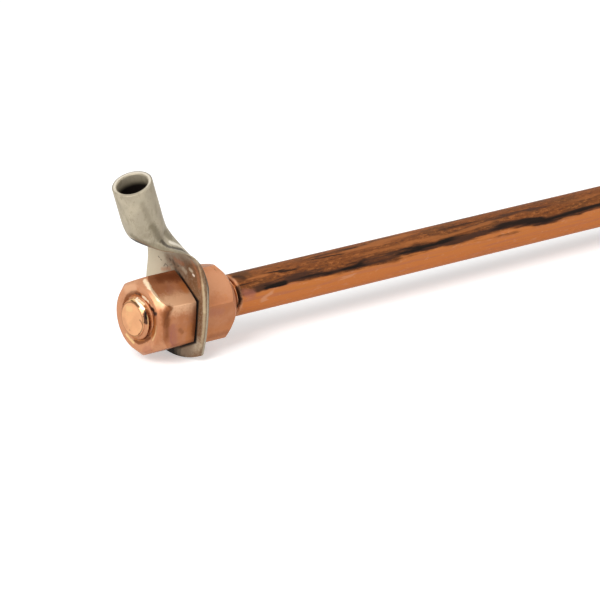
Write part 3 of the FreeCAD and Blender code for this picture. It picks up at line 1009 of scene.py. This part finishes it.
    # smoother and more metallic where the painted bright reflection lies, and on the thread
    clean = paint.math("MAXIMUM", lower, threaded)
    polish = paint.between(clean, 0.0, 1.0, 0.5, 0.33)
    rough = paint.math("ADD", polish, paint.between(mottles, 0.3, 0.7, 0.0, 0.1))
    metallic = paint.between(clean, 0.0, 1.0, 0.25, 0.6)
    return paint.finish(base, rough, metallic, normal, finish.copper_sheen, 0.1)


def paint_nut(name, finish, nut, start, outer_x, facing, rows):
    """Satin copper: brighter outer face and bevel, duller flats, cut countersink, and the nut's own marks."""
    paint = Paint(name)
    x = paint.parts()[0]
    depth = paint.math("MULTIPLY", paint.math("SUBTRACT", x, outer_x / MM), float(facing))
    radius = paint.radius()
    clouds = paint.noise(0.14, detail=5.0)
    mottles = paint.noise(0.5, detail=5.0, roughness=0.6)
    specks = paint.noise(1.7, detail=3.0)
    outer = paint.patches(finish.copper_nut, ((mottles, 0.52, 0.72, 0.5, finish.copper_flat),))
    flats = paint.patches(finish.copper_flat, (
        (clouds, 0.4, 0.65, 0.6, finish.copper_nut),
        (mottles, 0.52, 0.7, 0.4, finish.copper_orange),
    ))
    flat = nut.across_flats / 2 / MM
    on_flat = paint.between(paint.hexagon(start), flat - 0.12, flat - 0.04)
    base = paint.mix(on_flat, outer, flats)
    # the fresh cut of the countersink, and the darker bore inside it
    cut_radius, bore_radius = 11.4, 8.4
    cut = paint.both(
        paint.between(depth, 0.12, 0.3),
        paint.between(radius, cut_radius, cut_radius + 0.2, 1.0, 0.0))
    fresh = paint.patches(finish.copper_orange, ((mottles, 0.4, 0.6, 1.0, finish.copper_nut),))
    base = paint.mix(cut, base, fresh)
    deep = paint.both(
        paint.between(radius, bore_radius, bore_radius + 0.6, 1.0, 0.0),
        paint.between(depth, 0.9, 2.0))
    base = paint.mix(deep, base, finish.copper_deep_and_shade)
    thickness = nut.thickness / MM
    # painted contact shadow: the seat, where the nut meets the lug, turns black
    seat = paint.between(depth, thickness - 0.45, thickness - 0.1)
    base = paint.mix(seat, base, finish.copper_black_and_shade)
    base = paint.patches(base, ((specks, 0.7, 0.76, 0.6, finish.copper_brown_and_reflection),))
    base = paint.marks(base, rows)
    scratches = paint.noise(1.2, paint.stretched(0.3, 1.0, 4.0), detail=5.0)
    normal = paint.bump(scratches, 0.00005, 0.35)
    normal = paint.bump(specks, 0.00006, 0.3, normal)
    rough = paint.between(clouds, 0.3, 0.7, 0.3, 0.44)
    return paint.finish(base, rough, 0.42, normal, finish.copper_sheen, 0.3)


def front_nut_marks(finish):
    """Rows for Paint.marks, with widths and points in millimetres."""
    return (
        # upper flat: painted shade and reflection of the lug, darkest beside it, fading to painted peach
        # light towards the corner; orange and pink patches
        (finish.painted_peach_light, 0.95, 2.6, 5.0, ((18.0, -12.9, 7.4), (8.0, -12.7, 7.6))),
        (finish.copper_deep_and_shade, 0.5, 1.0, 4.8, ((16.5, -3.0, 14.1), (8.5, -2.2, 14.4))),
        (finish.copper_deep_and_shade, 0.85, 1.2, 2.6, ((16.8, -4.4, 13.4), (12.5, -3.0, 14.1), (10.2, -3.4, 13.7))),
        (finish.copper_orange, 0.7, 1.0, 1.8, ((17.8, -7.4, 11.3), (17.4, -9.6, 9.8))),
        (finish.copper_pink, 0.3, 1.0, 2.0, ((12.0, -7.4, 11.4), (10.4, -8.6, 10.5))),
        # painted highlights along the corner and the bevel
        (finish.painted_peach_light, 0.8, 0.4, 0.9, ((8.0, -13.3, 7.2), (18.2, -13.5, 6.9))),
        (finish.painted_pale_highlight, 0.95, 0.9, 0.7, ((4.8, -1.8, 14.0), (3.9, -5.8, 12.4))),
        (finish.painted_pale_highlight, 0.8, 0.3, 0.8, ((3.9, -5.8, 12.4), (4.2, -8.5, 10.6), (4.2, -10.6, 8.9))),
        (finish.painted_peach_light, 0.6, 0.2, 0.7, ((4.2, -10.6, 8.9), (6.8, -13.1, 7.3))),
        # dark brown at the corner and down the bevel, patches on the lower flat
        (finish.copper_brown_and_reflection, 0.95, 1.4, 1.8, ((6.0, -14.0, 6.0), (4.8, -13.9, 3.6), (4.7, -13.6, 0.4))),
        (finish.copper_smoke_and_reflection, 0.6, 0.5, 0.9, ((5.2, -14.0, 4.6), (4.9, -13.8, 2.8))),
        (finish.copper_deep_and_shade, 0.5, 1.0, 2.6, ((4.8, -13.5, 4.0), (5.0, -13.3, 0.5), (5.3, -12.8, -5.0))),
        (finish.copper_brown_and_reflection, 0.55, 0.2, 1.4, ((4.4, -13.4, 4.0), (5.6, -13.4, 1.5), (5.9, -13.2, -4.5))),
        (finish.copper_flat, 0.7, 1.4, 2.4, ((2.5, -11.4, 4.6), (2.5, -12.0, -1.0), (2.6, -10.6, -6.0))),
        (finish.copper_brown_and_reflection, 0.45, 0.3, 0.8, ((3.7, -12.2, 5.6), (3.9, -12.5, 2.0))),
        (finish.copper_pink, 0.65, 1.2, 2.2, ((8.2, -13.3, -2.0), (8.8, -13.1, -5.5), (9.4, -12.9, -7.8))),
        (finish.copper_pink, 0.8, 0.2, 0.5, ((7.6, -13.3, -3.4), (7.6, -13.0, -6.6), (8.8, -12.8, -8.6))),
        (finish.copper_brown_and_reflection, 0.5, 0.5, 0.9, ((11.6, -13.3, -3.2), (12.8, -13.2, -4.4))),
        (finish.copper_orange, 0.6, 1.2, 2.4, ((17.0, -13.1, -3.0), (16.0, -12.9, -7.6))),
        (finish.copper_deep_and_shade, 0.6, 0.6, 1.6, ((18.4, -13.2, 4.0), (18.4, -13.0, -6.0))),
        (finish.copper_deep_and_shade, 0.45, 0.4, 1.6, ((9.0, -12.6, -9.4), (17.5, -12.6, -9.2))),
        # countersink: dark brown above, a white painted highlight with black beside it, orange below
        (finish.copper_brown_and_reflection, 0.9, 0.9, 0.7,
         ((2.8, 8.4, 1.6), (2.8, 7.6, 4.2), (2.8, 5.8, 6.9), (2.8, 3.4, 8.6))),
        (finish.copper_brown_and_reflection, 0.95, 0.8, 0.7, ((2.8, 3.4, 8.6), (2.8, 0.4, 9.6), (3.0, -1.1, 9.2))),
        (finish.copper_smoke_and_reflection, 0.7, 0.3, 0.5, ((2.9, 1.4, 8.8), (3.1, -1.2, 8.8))),
        (finish.painted_white_highlight, 1.0, 1.2, 0.4, ((3.2, -2.7, 8.4), (3.1, -4.2, 8.0), (3.1, -5.6, 7.4))),
        (finish.copper_orange, 0.95, 0.7, 0.5, ((3.3, -4.2, 6.9), (3.3, -5.8, 6.0))),
        (finish.painted_peach_light, 0.9, 0.9, 0.6, ((3.0, -6.9, 6.8), (2.8, -8.4, 6.2))),
        (finish.copper_smoke_and_reflection, 1.0, 0.9, 0.5, ((3.2, -6.4, 5.8), (3.2, -7.4, 4.6))),
        (finish.copper_black_and_shade, 1.0, 1.4, 0.5, ((3.1, -7.7, 5.0), (2.8, -9.2, 5.0))),
        (finish.copper_smoke_and_reflection, 1.0, 1.1, 0.6, ((2.9, -8.9, 3.8), (2.6, -10.6, 4.0))),
        (finish.copper_deep_and_shade, 0.95, 1.0, 0.7, ((3.1, -8.8, 2.4), (3.1, -8.7, 0.6), (3.2, -8.2, -1.4))),
        (finish.copper_orange, 0.9, 0.9, 0.9, ((2.9, -9.8, 1.2), (3.0, -9.3, -2.0), (3.0, -8.2, -4.6))),
        (finish.copper_straw_and_highlight, 0.7, 0.3, 0.5, ((2.6, -10.9, -0.5), (2.6, -10.3, -3.6), (2.6, -8.8, -6.2))),
        (finish.copper_brown_and_reflection, 0.9, 0.6, 0.5,
         ((3.1, -6.6, -6.2), (2.9, -3.2, -8.5), (2.6, -0.6, -9.4), (2.6, 2.0, -9.2))),
        (finish.copper_straw_and_highlight, 0.95, 0.5, 0.5, ((2.5, 2.4, -9.9), (2.5, 4.6, -9.2), (2.5, 6.6, -8.0))),
        (finish.copper_pink, 0.4, 1.2, 1.6, ((2.5, -4.0, -11.6), (2.5, -6.8, -10.3))),
        # painted light on the upper left of the outer face
        (finish.painted_peach_light, 0.5, 1.0, 2.4, ((2.5, 2.0, 11.4), (2.5, 6.4, 9.6))),
        (finish.copper_orange, 0.5, 0.2, 0.4, ((2.5, -0.4, 11.0), (2.5, -0.6, 9.9))),
    )


def back_nut_marks(finish):
    """Rows for Paint.marks, with widths and points in millimetres."""
    return (
        (finish.copper_brown_and_reflection, 0.8, 0.3, 0.3, ((33.9, -5.7, 13.7), (34.2, -6.2, 13.3))),
        (finish.copper_brown_and_reflection, 0.6, 0.15, 0.25, ((31.7, -13.9, 5.9), (33.2, -13.9, 5.9))),
        (finish.copper_brown_and_reflection, 0.6, 0.15, 0.25, ((34.2, -13.9, 6.1), (35.6, -13.8, 6.0))),
        (finish.copper_nut, 0.8, 4.0, 5.0, ((26.0, -9.5, 10.8), (34.0, -9.5, 10.8))),
        (finish.copper_brown_and_reflection, 0.6, 0.4, 1.0, ((24.0, -1.0, 14.6), (33.0, -2.4, 14.3))),
        (finish.copper_pink, 0.45, 1.0, 2.2, ((25.0, -14.6, 1.0), (30.0, -14.5, 0.0))),
        (finish.copper_orange, 0.4, 1.0, 3.0, ((27.0, -12.6, -7.4), (35.0, -12.6, -7.4))),
        (finish.copper_deep_and_shade, 0.4, 0.4, 1.6, ((27.0, -11.5, -9.6), (37.0, -11.5, -9.6))),
    )


def nut_shade(paint, nut, start, reach):
    """Mask of the palm's painted contact shadow round a nut: a band along its hexagon, this wide outside it,
    faint inside.
    """
    flat = nut.across_flats / 2 / MM
    hexagon = paint.hexagon(start)
    outer = paint.between(hexagon, flat + reach * 0.3, flat + reach, 1.0, 0.0)
    return paint.both(outer, paint.between(hexagon, flat - 1.5, flat - 0.3, 0.15, 1.0))


def paint_lug(finish, lug, nut):
    """Matt tin: painted shade in the hollow, painted olive shade down the barrel, copper where the nut bears,
    and painted contact shadow round the nuts.
    """
    paint = Paint("lug tin")
    x, y, z = paint.parts()
    clouds = paint.noise(0.12, detail=5.0)
    stains = paint.noise(0.4, detail=6.0, roughness=0.65)
    upright = paint.noise(0.5, paint.stretched(1.0, 1.0, 0.25), detail=5.0, roughness=0.7)
    specks = paint.noise(1.3, detail=4.0, roughness=0.7)
    base = paint.patches(finish.tin, (
        (clouds, 0.4, 0.7, 0.5, finish.tin_light),
        (stains, 0.55, 0.75, 0.35, finish.tin_shade),
        (upright, 0.5, 0.68, 0.5, finish.tin_shade),
        (specks, 0.6, 0.7, 0.4, finish.tin_brown),
    ))

    face_x = lug.front_x / MM
    front = paint.between(x, face_x + 1.0, face_x + 1.6, 1.0, 0.0)
    palm = paint.both(front, paint.between(x, face_x - 1.85, face_x - 0.65))
    base = paint.mix(paint.both(palm, paint.between(y, 2.0, 8.0), 0.9), base, finish.tin_light)
    drift = paint.math("ADD", y, paint.math("MULTIPLY", paint.ragged, 7.0))
    worn = paint.both(palm, paint.between(drift, 7.0, -3.0), paint.between(stains, 0.35, 0.6, 0.45, 1.0))
    base = paint.mix(paint.both(worn, paint.between(z, -20.0, 6.0, 0.4, 0.75)), base, finish.tin_copper)
    right = paint.both(palm, paint.between(drift, -3.0, -11.0), paint.between(specks, 0.35, 0.6, 0.55, 0.95))
    base = paint.mix(right, base, finish.tin_brown)

    # the hollow darkened with depth as painted shade, the rim of the mouth as a painted highlight, and the
    # dark line outside it
    shape = LugShape(lug)
    move = lug_move(lug)
    mouth = (move @ shape.mouth) / MM
    down = move.to_3x3() @ shape.down
    off = paint.vector("SUBTRACT", paint.place, mouth)
    below = paint.vector("DOT_PRODUCT", off, down)
    aside = paint.vector("LENGTH", paint.vector("SUBTRACT", off, paint.vector("SCALE", down, scale=below)))
    bore = shape.bore_radius / MM
    barrel = shape.radius / MM
    hollow = paint.between(aside, bore + 0.1, bore + 0.5, 1.0, 0.0)
    base = paint.mix(paint.both(hollow, paint.between(below, 0.3, 4.0, 0.0, 0.7)), base, finish.tin_shade)
    base = paint.mix(paint.both(hollow, paint.between(below, 2.2, 4.6)), base, finish.copper_black_and_shade)
    at_mouth = paint.between(below, 0.0, 0.5, 1.0, 0.0)
    rim = paint.both(at_mouth, paint.ring(aside, bore + 0.55, bore + 1.05, 0.25))
    base = paint.mix(paint.math("MULTIPLY", rim, 0.7), base, finish.tin_pale_and_highlight)
    near_mouth = paint.between(below, -0.5, 0.6, 1.0, 0.0)
    outline = paint.both(near_mouth, paint.between(aside, barrel - 0.55, barrel - 0.15))
    base = paint.mix(paint.math("MULTIPLY", outline, 0.75), base, finish.tin_dark_and_shade)

    base = paint.marks(base, (
        # painted shade down the barrel and in the fold behind the wing, and a painted highlight on the wing's
        # top
        (finish.tin_shade, 0.4, 0.2, 1.6, ((-2.9, -10.9, 46.0), (0.9, -10.4, 38.5), (2.9, -10.1, 35.3))),
        (finish.tin_shade, 0.8, 0.8, 1.8, ((1.8, -10.1, 36.8), (6.8, -9.4, 30.1))),
        (finish.tin_shade, 0.4, 0.8, 2.6, ((-1.5, -7.0, 38.0), (0.6, -7.6, 33.5))),
        (finish.tin_shade, 0.8, 0.8, 1.8,
         ((-2.6, -3.8, 32.2), (2.0, -7.9, 29.2), (8.0, -12.2, 26.8), (13.0, -14.2, 25.0))),
        (finish.tin_dark_and_shade, 0.85, 0.7, 1.0,
         ((6.8, -9.4, 30.1), (8.3, -10.4, 28.4), (14.7, -10.9, 25.8), (17.0, -13.5, 23.8))),
        (finish.tin_shade, 0.7, 1.2, 1.4, ((10.3, -7.0, 32.2), (12.0, -7.6, 30.2))),
        (finish.tin_pale_and_highlight, 0.75, 0.6, 0.7, ((11.0, -8.6, 28.9), (13.8, -9.0, 27.5), (16.2, -9.2, 26.0))),
        # copper along the front wall's lower line
        (finish.tin_copper, 0.85, 0.2, 0.5,
         ((-1.3, -4.7, 31.3), (2.5, -7.9, 28.6), (5.0, -10.5, 27.1), (9.0, -12.9, 26.2))),
        # pits, stains and smears on the palm above the nut, and a painted reflection of the nut along its
        # upper edge
        (finish.tin_brown, 0.6, 0.6, 2.2, ((18.5, 2.4, 19.8), (18.8, -2.0, 17.0))),
        (finish.tin_dark_and_shade, 0.6, 0.3, 0.5, ((18.6, 1.2, 19.0), (18.7, 0.8, 18.6))),
        (finish.tin_dark_and_shade, 0.6, 0.3, 0.6, ((18.7, -0.6, 18.9), (18.8, -1.4, 17.4))),
        (finish.tin_dark_and_shade, 0.5, 0.2, 0.4, ((18.8, -3.2, 17.2), (18.8, -3.9, 17.4))),
        (finish.tin_dark_and_shade, 0.4, 0.2, 0.4, ((18.8, 1.4, 16.6), (18.8, 0.4, 16.9))),
        (finish.tin_dark_and_shade, 0.6, 0.2, 0.3,
         ((18.9, 5.4, 15.2), (18.9, 4.2, 16.4), (18.9, 3.0, 15.8), (18.9, 3.4, 14.8))),
        (finish.tin_dark_and_shade, 0.7, 0.2, 0.25, ((18.8, 8.2, 18.3), (18.8, 7.7, 18.0))),
        (finish.tin_dark_and_shade, 0.7, 0.2, 0.25, ((18.8, 7.0, 17.5), (18.8, 6.6, 17.3))),
        # painted reflection of the nut's copper on the palm, along its upper left flat
        (finish.copper_flat, 0.45, 0.3, 1.0, ((19.0, 6.5, 13.8), (19.0, 3.8, 14.6), (19.0, 1.7, 15.0))),
        (finish.copper_flat, 0.5, 0.6, 1.4, ((18.6, -2.4, 19.6), (18.7, -6.4, 18.9))),
        (finish.tin_light, 0.6, 0.6, 1.1, ((18.8, -6.3, 16.8), (18.8, -7.6, 15.9))),
        (finish.tin_light, 0.8, 0.5, 0.8, ((18.6, -10.4, 17.6), (18.7, -11.4, 17.2))),
        (finish.tin_pale_and_highlight, 1.0, 0.5, 0.4, ((18.9, -12.0, 15.9), (18.9, -12.5, 15.6))),
        (finish.copper_flat, 0.45, 0.4, 1.2,
         ((17.6, -13.0, 21.5), (18.6, -14.8, 17.2), (19.0, -15.4, 12.0))),
        # rim: a painted highlight along its front, painted shade behind
        (finish.painted_tin_highlight, 0.75, 0.3, 0.8,
         ((13.8, -15.2, 25.0), (16.2, -15.6, 22.9), (17.9, -16.5, 19.0), (18.9, -17.2, 13.0))),
        (finish.painted_tin_highlight, 0.75, 0.3, 0.8, ((18.9, -17.2, 13.0), (19.4, -17.6, 8.0), (19.5, -17.6, 3.0))),
        (finish.painted_tin_highlight, 0.6, 0.3, 0.8, ((19.5, -17.6, 3.0), (19.5, -17.1, -4.0), (19.4, -15.8, -10.5))),
        (finish.tin_dark_and_shade, 0.85, 0.4, 0.8, ((16.2, -14.4, 25.4), (19.0, -16.6, 21.0), (20.6, -17.9, 15.5))),
        (finish.tin_dark_and_shade, 0.8, 0.5, 0.8,
         ((20.6, -17.9, 15.5), (21.6, -18.1, 9.0), (21.8, -18.0, 2.0), (21.8, -17.2, -6.0))),
        # foot: painted shadow along its lower edge
        (finish.copper_black_and_shade, 0.85, 0.4, 1.4,
         ((19.1, 7.0, -15.6), (19.1, 3.0, -16.6), (19.1, -1.0, -17.2), (19.1, -6.0, -17.2))),
        (finish.tin_light, 0.5, 2.0, 4.0, ((19.1, -4.0, -14.0), (19.1, -12.0, -10.0))),
    ))
    # painted contact shadow on the palm round the front nut, stronger towards -Y, and round the back nut on
    # the rear face
    contact_shadow = paint.both(front, nut_shade(paint, nut, nut.front_turn, 1.3), paint.between(drift, 1.0, -6.0))
    base = paint.mix(contact_shadow, base, finish.copper_black_and_shade)
    back = paint.between(x, face_x + 2.35, face_x + 2.75)
    back_contact_shadow = paint.both(back, nut_shade(paint, nut, nut.back_turn, 0.8))
    base = paint.mix(paint.math("MULTIPLY", back_contact_shadow, 0.8), base, finish.copper_black_and_shade)
    normal = paint.bump(paint.noise(0.9, detail=4.0), 0.0001, 0.4)
    normal = paint.bump(paint.noise(3.0, detail=3.0), 0.00004, 0.3, normal)
    rough = paint.between(clouds, 0.3, 0.7, 0.42, 0.56)
    return paint.finish(base, rough, 0.3, normal, finish.tin_sheen, 0.3)


def dress(piece, body, material, sharp_angle=35):
    """Give a finished piece its material, body, node and slot."""
    piece.data.materials.clear()
    piece.data.materials.append(material)
    for face in piece.data.polygons:
        face.use_smooth = True
    piece.data.set_sharp_from_angle(angle=math.radians(sharp_angle))
    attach(piece, body)
    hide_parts(body)


# Stage


def make_camera(stage):
    """Camera that looks at the threaded end, which stands left of the picture's middle."""
    azimuth, elevation = stage.camera_azimuth, stage.camera_elevation
    right = Vector((math.cos(azimuth), math.sin(azimuth), 0))
    back = Vector((
        math.sin(azimuth) * math.cos(elevation),
        -math.cos(azimuth) * math.cos(elevation),
        math.sin(elevation),
    ))
    up = back.cross(right)
    camera = bpy.data.objects.new("camera", bpy.data.cameras.new("camera"))
    bpy.context.scene.collection.objects.link(camera)
    camera.data.lens = stage.lens
    camera.data.sensor_width = SENSOR_WIDTH
    camera.data.clip_start = 0.05
    camera.data.clip_end = 50
    place = Vector((stage.aim_x, 0, 0)) + back * stage.camera_distance
    place -= right * stage.aim_right + up * stage.aim_up
    camera.matrix_world = Matrix.Translation(place) @ Matrix((right, up, back)).transposed().to_4x4()
    bpy.context.scene.camera = camera


def make_floor(stage):
    """Plain pale floor that the object rests on, by the lug's foot and the rod's point."""
    lug_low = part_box("lug")[0]
    rod_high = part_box("rod")[1]
    settings = bpy.context.scene.earth_rod
    foot_x = settings.lug.front_x + settings.lug.palm_thickness / 2
    heel_x = settings.rod.length - settings.rod.point_length
    heel_z = -settings.rod.shank_diameter / 2
    slope = (heel_z - lug_low.z) / (heel_x - foot_x)
    half = stage.floor_size / 2
    corners = []
    for x in (rod_high.x / 2 - half, rod_high.x / 2 + half):
        for y in (-half, half):
            corners.append((x, y, lug_low.z + (x - foot_x) * slope))
    mesh = bpy.data.meshes.new("floor")
    mesh.from_pydata(corners, [], [(0, 2, 3, 1)])
    floor = bpy.data.objects.new("floor", mesh)
    bpy.context.scene.collection.objects.link(floor)
    material = bpy.data.materials.new("floor")
    material.use_nodes = True
    tree = material.node_tree
    surface = tree.nodes["Principled BSDF"]
    surface.inputs["Base Color"].default_value = (*stage.floor_colour, 1)
    surface.inputs["Roughness"].default_value = 0.9
    surface.inputs["Specular IOR Level"].default_value = 0
    path = tree.nodes.new("ShaderNodeLightPath")
    seen = tree.nodes.new("ShaderNodeMath")
    seen.operation = "MAXIMUM"
    tree.links.new(path.outputs["Is Camera Ray"], seen.inputs[0])
    tree.links.new(path.outputs["Is Glossy Ray"], seen.inputs[1])
    glow = tree.nodes.new("ShaderNodeMath")
    glow.operation = "MULTIPLY"
    tree.links.new(seen.outputs[0], glow.inputs[0])
    glow.inputs[1].default_value = stage.floor_glow
    surface.inputs["Emission Color"].default_value = (1, 1, 1, 1)
    tree.links.new(glow.outputs[0], surface.inputs["Emission Strength"])
    mesh.materials.append(material)


def make_world(stage):
    """White to the camera and in reflections, a softer light on the object."""
    world = bpy.data.worlds.new("studio")
    bpy.context.scene.world = world
    world.use_nodes = True
    tree = world.node_tree
    backdrop = tree.nodes["Background"]
    backdrop.inputs["Color"].default_value = (1, 1, 1, 1)
    path = tree.nodes.new("ShaderNodeLightPath")
    seen = tree.nodes.new("ShaderNodeMath")
    seen.operation = "MAXIMUM"
    tree.links.new(path.outputs["Is Camera Ray"], seen.inputs[0])
    glossy = tree.nodes.new("ShaderNodeMath")
    glossy.operation = "MAXIMUM"
    tree.links.new(path.outputs["Is Glossy Ray"], glossy.inputs[0])
    tree.links.new(path.outputs["Is Transmission Ray"], glossy.inputs[1])
    tree.links.new(glossy.outputs[0], seen.inputs[1])
    strength = tree.nodes.new("ShaderNodeMapRange")
    tree.links.new(seen.outputs[0], strength.inputs[0])
    strength.inputs["To Min"].default_value = stage.surroundings
    strength.inputs["To Max"].default_value = 1.0
    tree.links.new(strength.outputs[0], backdrop.inputs["Strength"])


def make_lamp(name, place, aim, size, energy):
    """Round soft lamp that faces its aim."""
    lamp = bpy.data.lights.new(name, "AREA")
    lamp.shape = "DISK"
    lamp.size = size
    lamp.energy = energy
    carrier = bpy.data.objects.new(name, lamp)
    towards = (Vector(aim) - Vector(place)).to_track_quat("-Z", "Y")
    carrier.matrix_world = Matrix.Translation(place) @ towards.to_matrix().to_4x4()
    bpy.context.scene.collection.objects.link(carrier)


# Operators


class EARTH_ROD_OT_rod(bpy.types.Operator):
    """Make the copper rod with its thread, struck end and point"""

    bl_idname = "earth_rod.rod"
    bl_label = "Make the rod"

    def execute(self, context):
        settings = context.scene.earth_rod
        rod = make_rod_mesh(settings.rod)
        dress(rod, "rod", paint_rod(settings.finish, settings.rod))
        return {"FINISHED"}


class EARTH_ROD_OT_nuts(bpy.types.Operator):
    """Make both nuts on the rod's thread"""

    bl_idname = "earth_rod.nuts"
    bl_label = "Make the nuts"

    def execute(self, context):
        settings = context.scene.earth_rod
        nut = settings.nut
        finish = settings.finish
        for name, body, outer_x, turn, facing, marks in (
            ("nut_front", "front_nut", nut.front_x, nut.front_turn, 1, front_nut_marks(finish)),
            ("nut_back", "back_nut", nut.back_x, nut.back_turn, -1, back_nut_marks(finish)),
        ):
            piece = make_nut_mesh(name, nut, settings.rod, outer_x, turn, facing)
            label = body.replace("_", " ") + " copper"
            copper = paint_nut(label, finish, nut, turn, outer_x, facing, marks)
            dress(piece, body, copper)
        return {"FINISHED"}


class EARTH_ROD_OT_lug(bpy.types.Operator):
    """Make the tinned cable lug between the nuts"""

    bl_idname = "earth_rod.lug"
    bl_label = "Make the lug"

    def execute(self, context):
        settings = context.scene.earth_rod
        lug = make_lug_mesh(settings.lug)
        dress(lug, "lug", paint_lug(settings.finish, settings.lug, settings.nut))
        return {"FINISHED"}


class EARTH_ROD_OT_stage(bpy.types.Operator):
    """Make the floor, the lights, the white surroundings and the camera"""

    bl_idname = "earth_rod.stage"
    bl_label = "Make the stage"

    def execute(self, context):
        stage = context.scene.earth_rod.stage
        make_camera(stage)
        make_floor(stage)
        make_world(stage)
        # name, place, aim, size and power of each lamp
        for lamp in (
            ("key light", (-1.5, -0.6, 1.2), (0.05, 0, 0), 1.2, stage.key_power),
            ("fill light", (1.4, -1.2, 1.0), (0.2, 0, 0), 1.4, stage.fill_power),
            ("top light", (1.1, 0.0, 1.5), (0.03, 0, 0), 1.0, stage.top_power),
        ):
            make_lamp(*lamp)
        context.scene.view_settings.view_transform = "Standard"
        return {"FINISHED"}


class EarthRodSettings(bpy.types.PropertyGroup):
    rod: PointerProperty(type=RodSettings)
    nut: PointerProperty(type=NutSettings)
    lug: PointerProperty(type=LugSettings)
    finish: PointerProperty(type=FinishSettings)
    stage: PointerProperty(type=StageSettings)


class EARTH_ROD_PT_panel(bpy.types.Panel):
    """Steps and settings of the earth rod"""

    bl_idname = "EARTH_ROD_PT_panel"
    bl_label = "Earth rod"
    bl_space_type = "VIEW_3D"
    bl_region_type = "UI"
    bl_category = "Earth rod"

    def draw(self, context):
        settings = context.scene.earth_rod
        groups = (
            ("earth_rod.rod", settings.rod),
            ("earth_rod.nuts", settings.nut),
            ("earth_rod.lug", settings.lug),
            ("earth_rod.stage", settings.stage),
            (None, settings.finish),
        )
        for operator, group in groups:
            box = self.layout.box()
            if operator:
                box.operator(operator)
            for name in group.__annotations__:
                box.prop(group, name)


CLASSES = (
    RodSettings,
    NutSettings,
    LugSettings,
    FinishSettings,
    StageSettings,
    EarthRodSettings,
    EARTH_ROD_OT_rod,
    EARTH_ROD_OT_nuts,
    EARTH_ROD_OT_lug,
    EARTH_ROD_OT_stage,
    EARTH_ROD_PT_panel,
)


def register():
    for each in CLASSES:
        bpy.utils.register_class(each)
    bpy.types.Scene.earth_rod = PointerProperty(type=EarthRodSettings)


def unregister():
    del bpy.types.Scene.earth_rod
    for each in reversed(CLASSES):
        bpy.utils.unregister_class(each)


def main():
    register()
    bpy.ops.earth_rod.rod()
    bpy.ops.earth_rod.nuts()
    bpy.ops.earth_rod.lug()
    bpy.ops.earth_rod.stage()


if __name__ == "__main__":
    main()
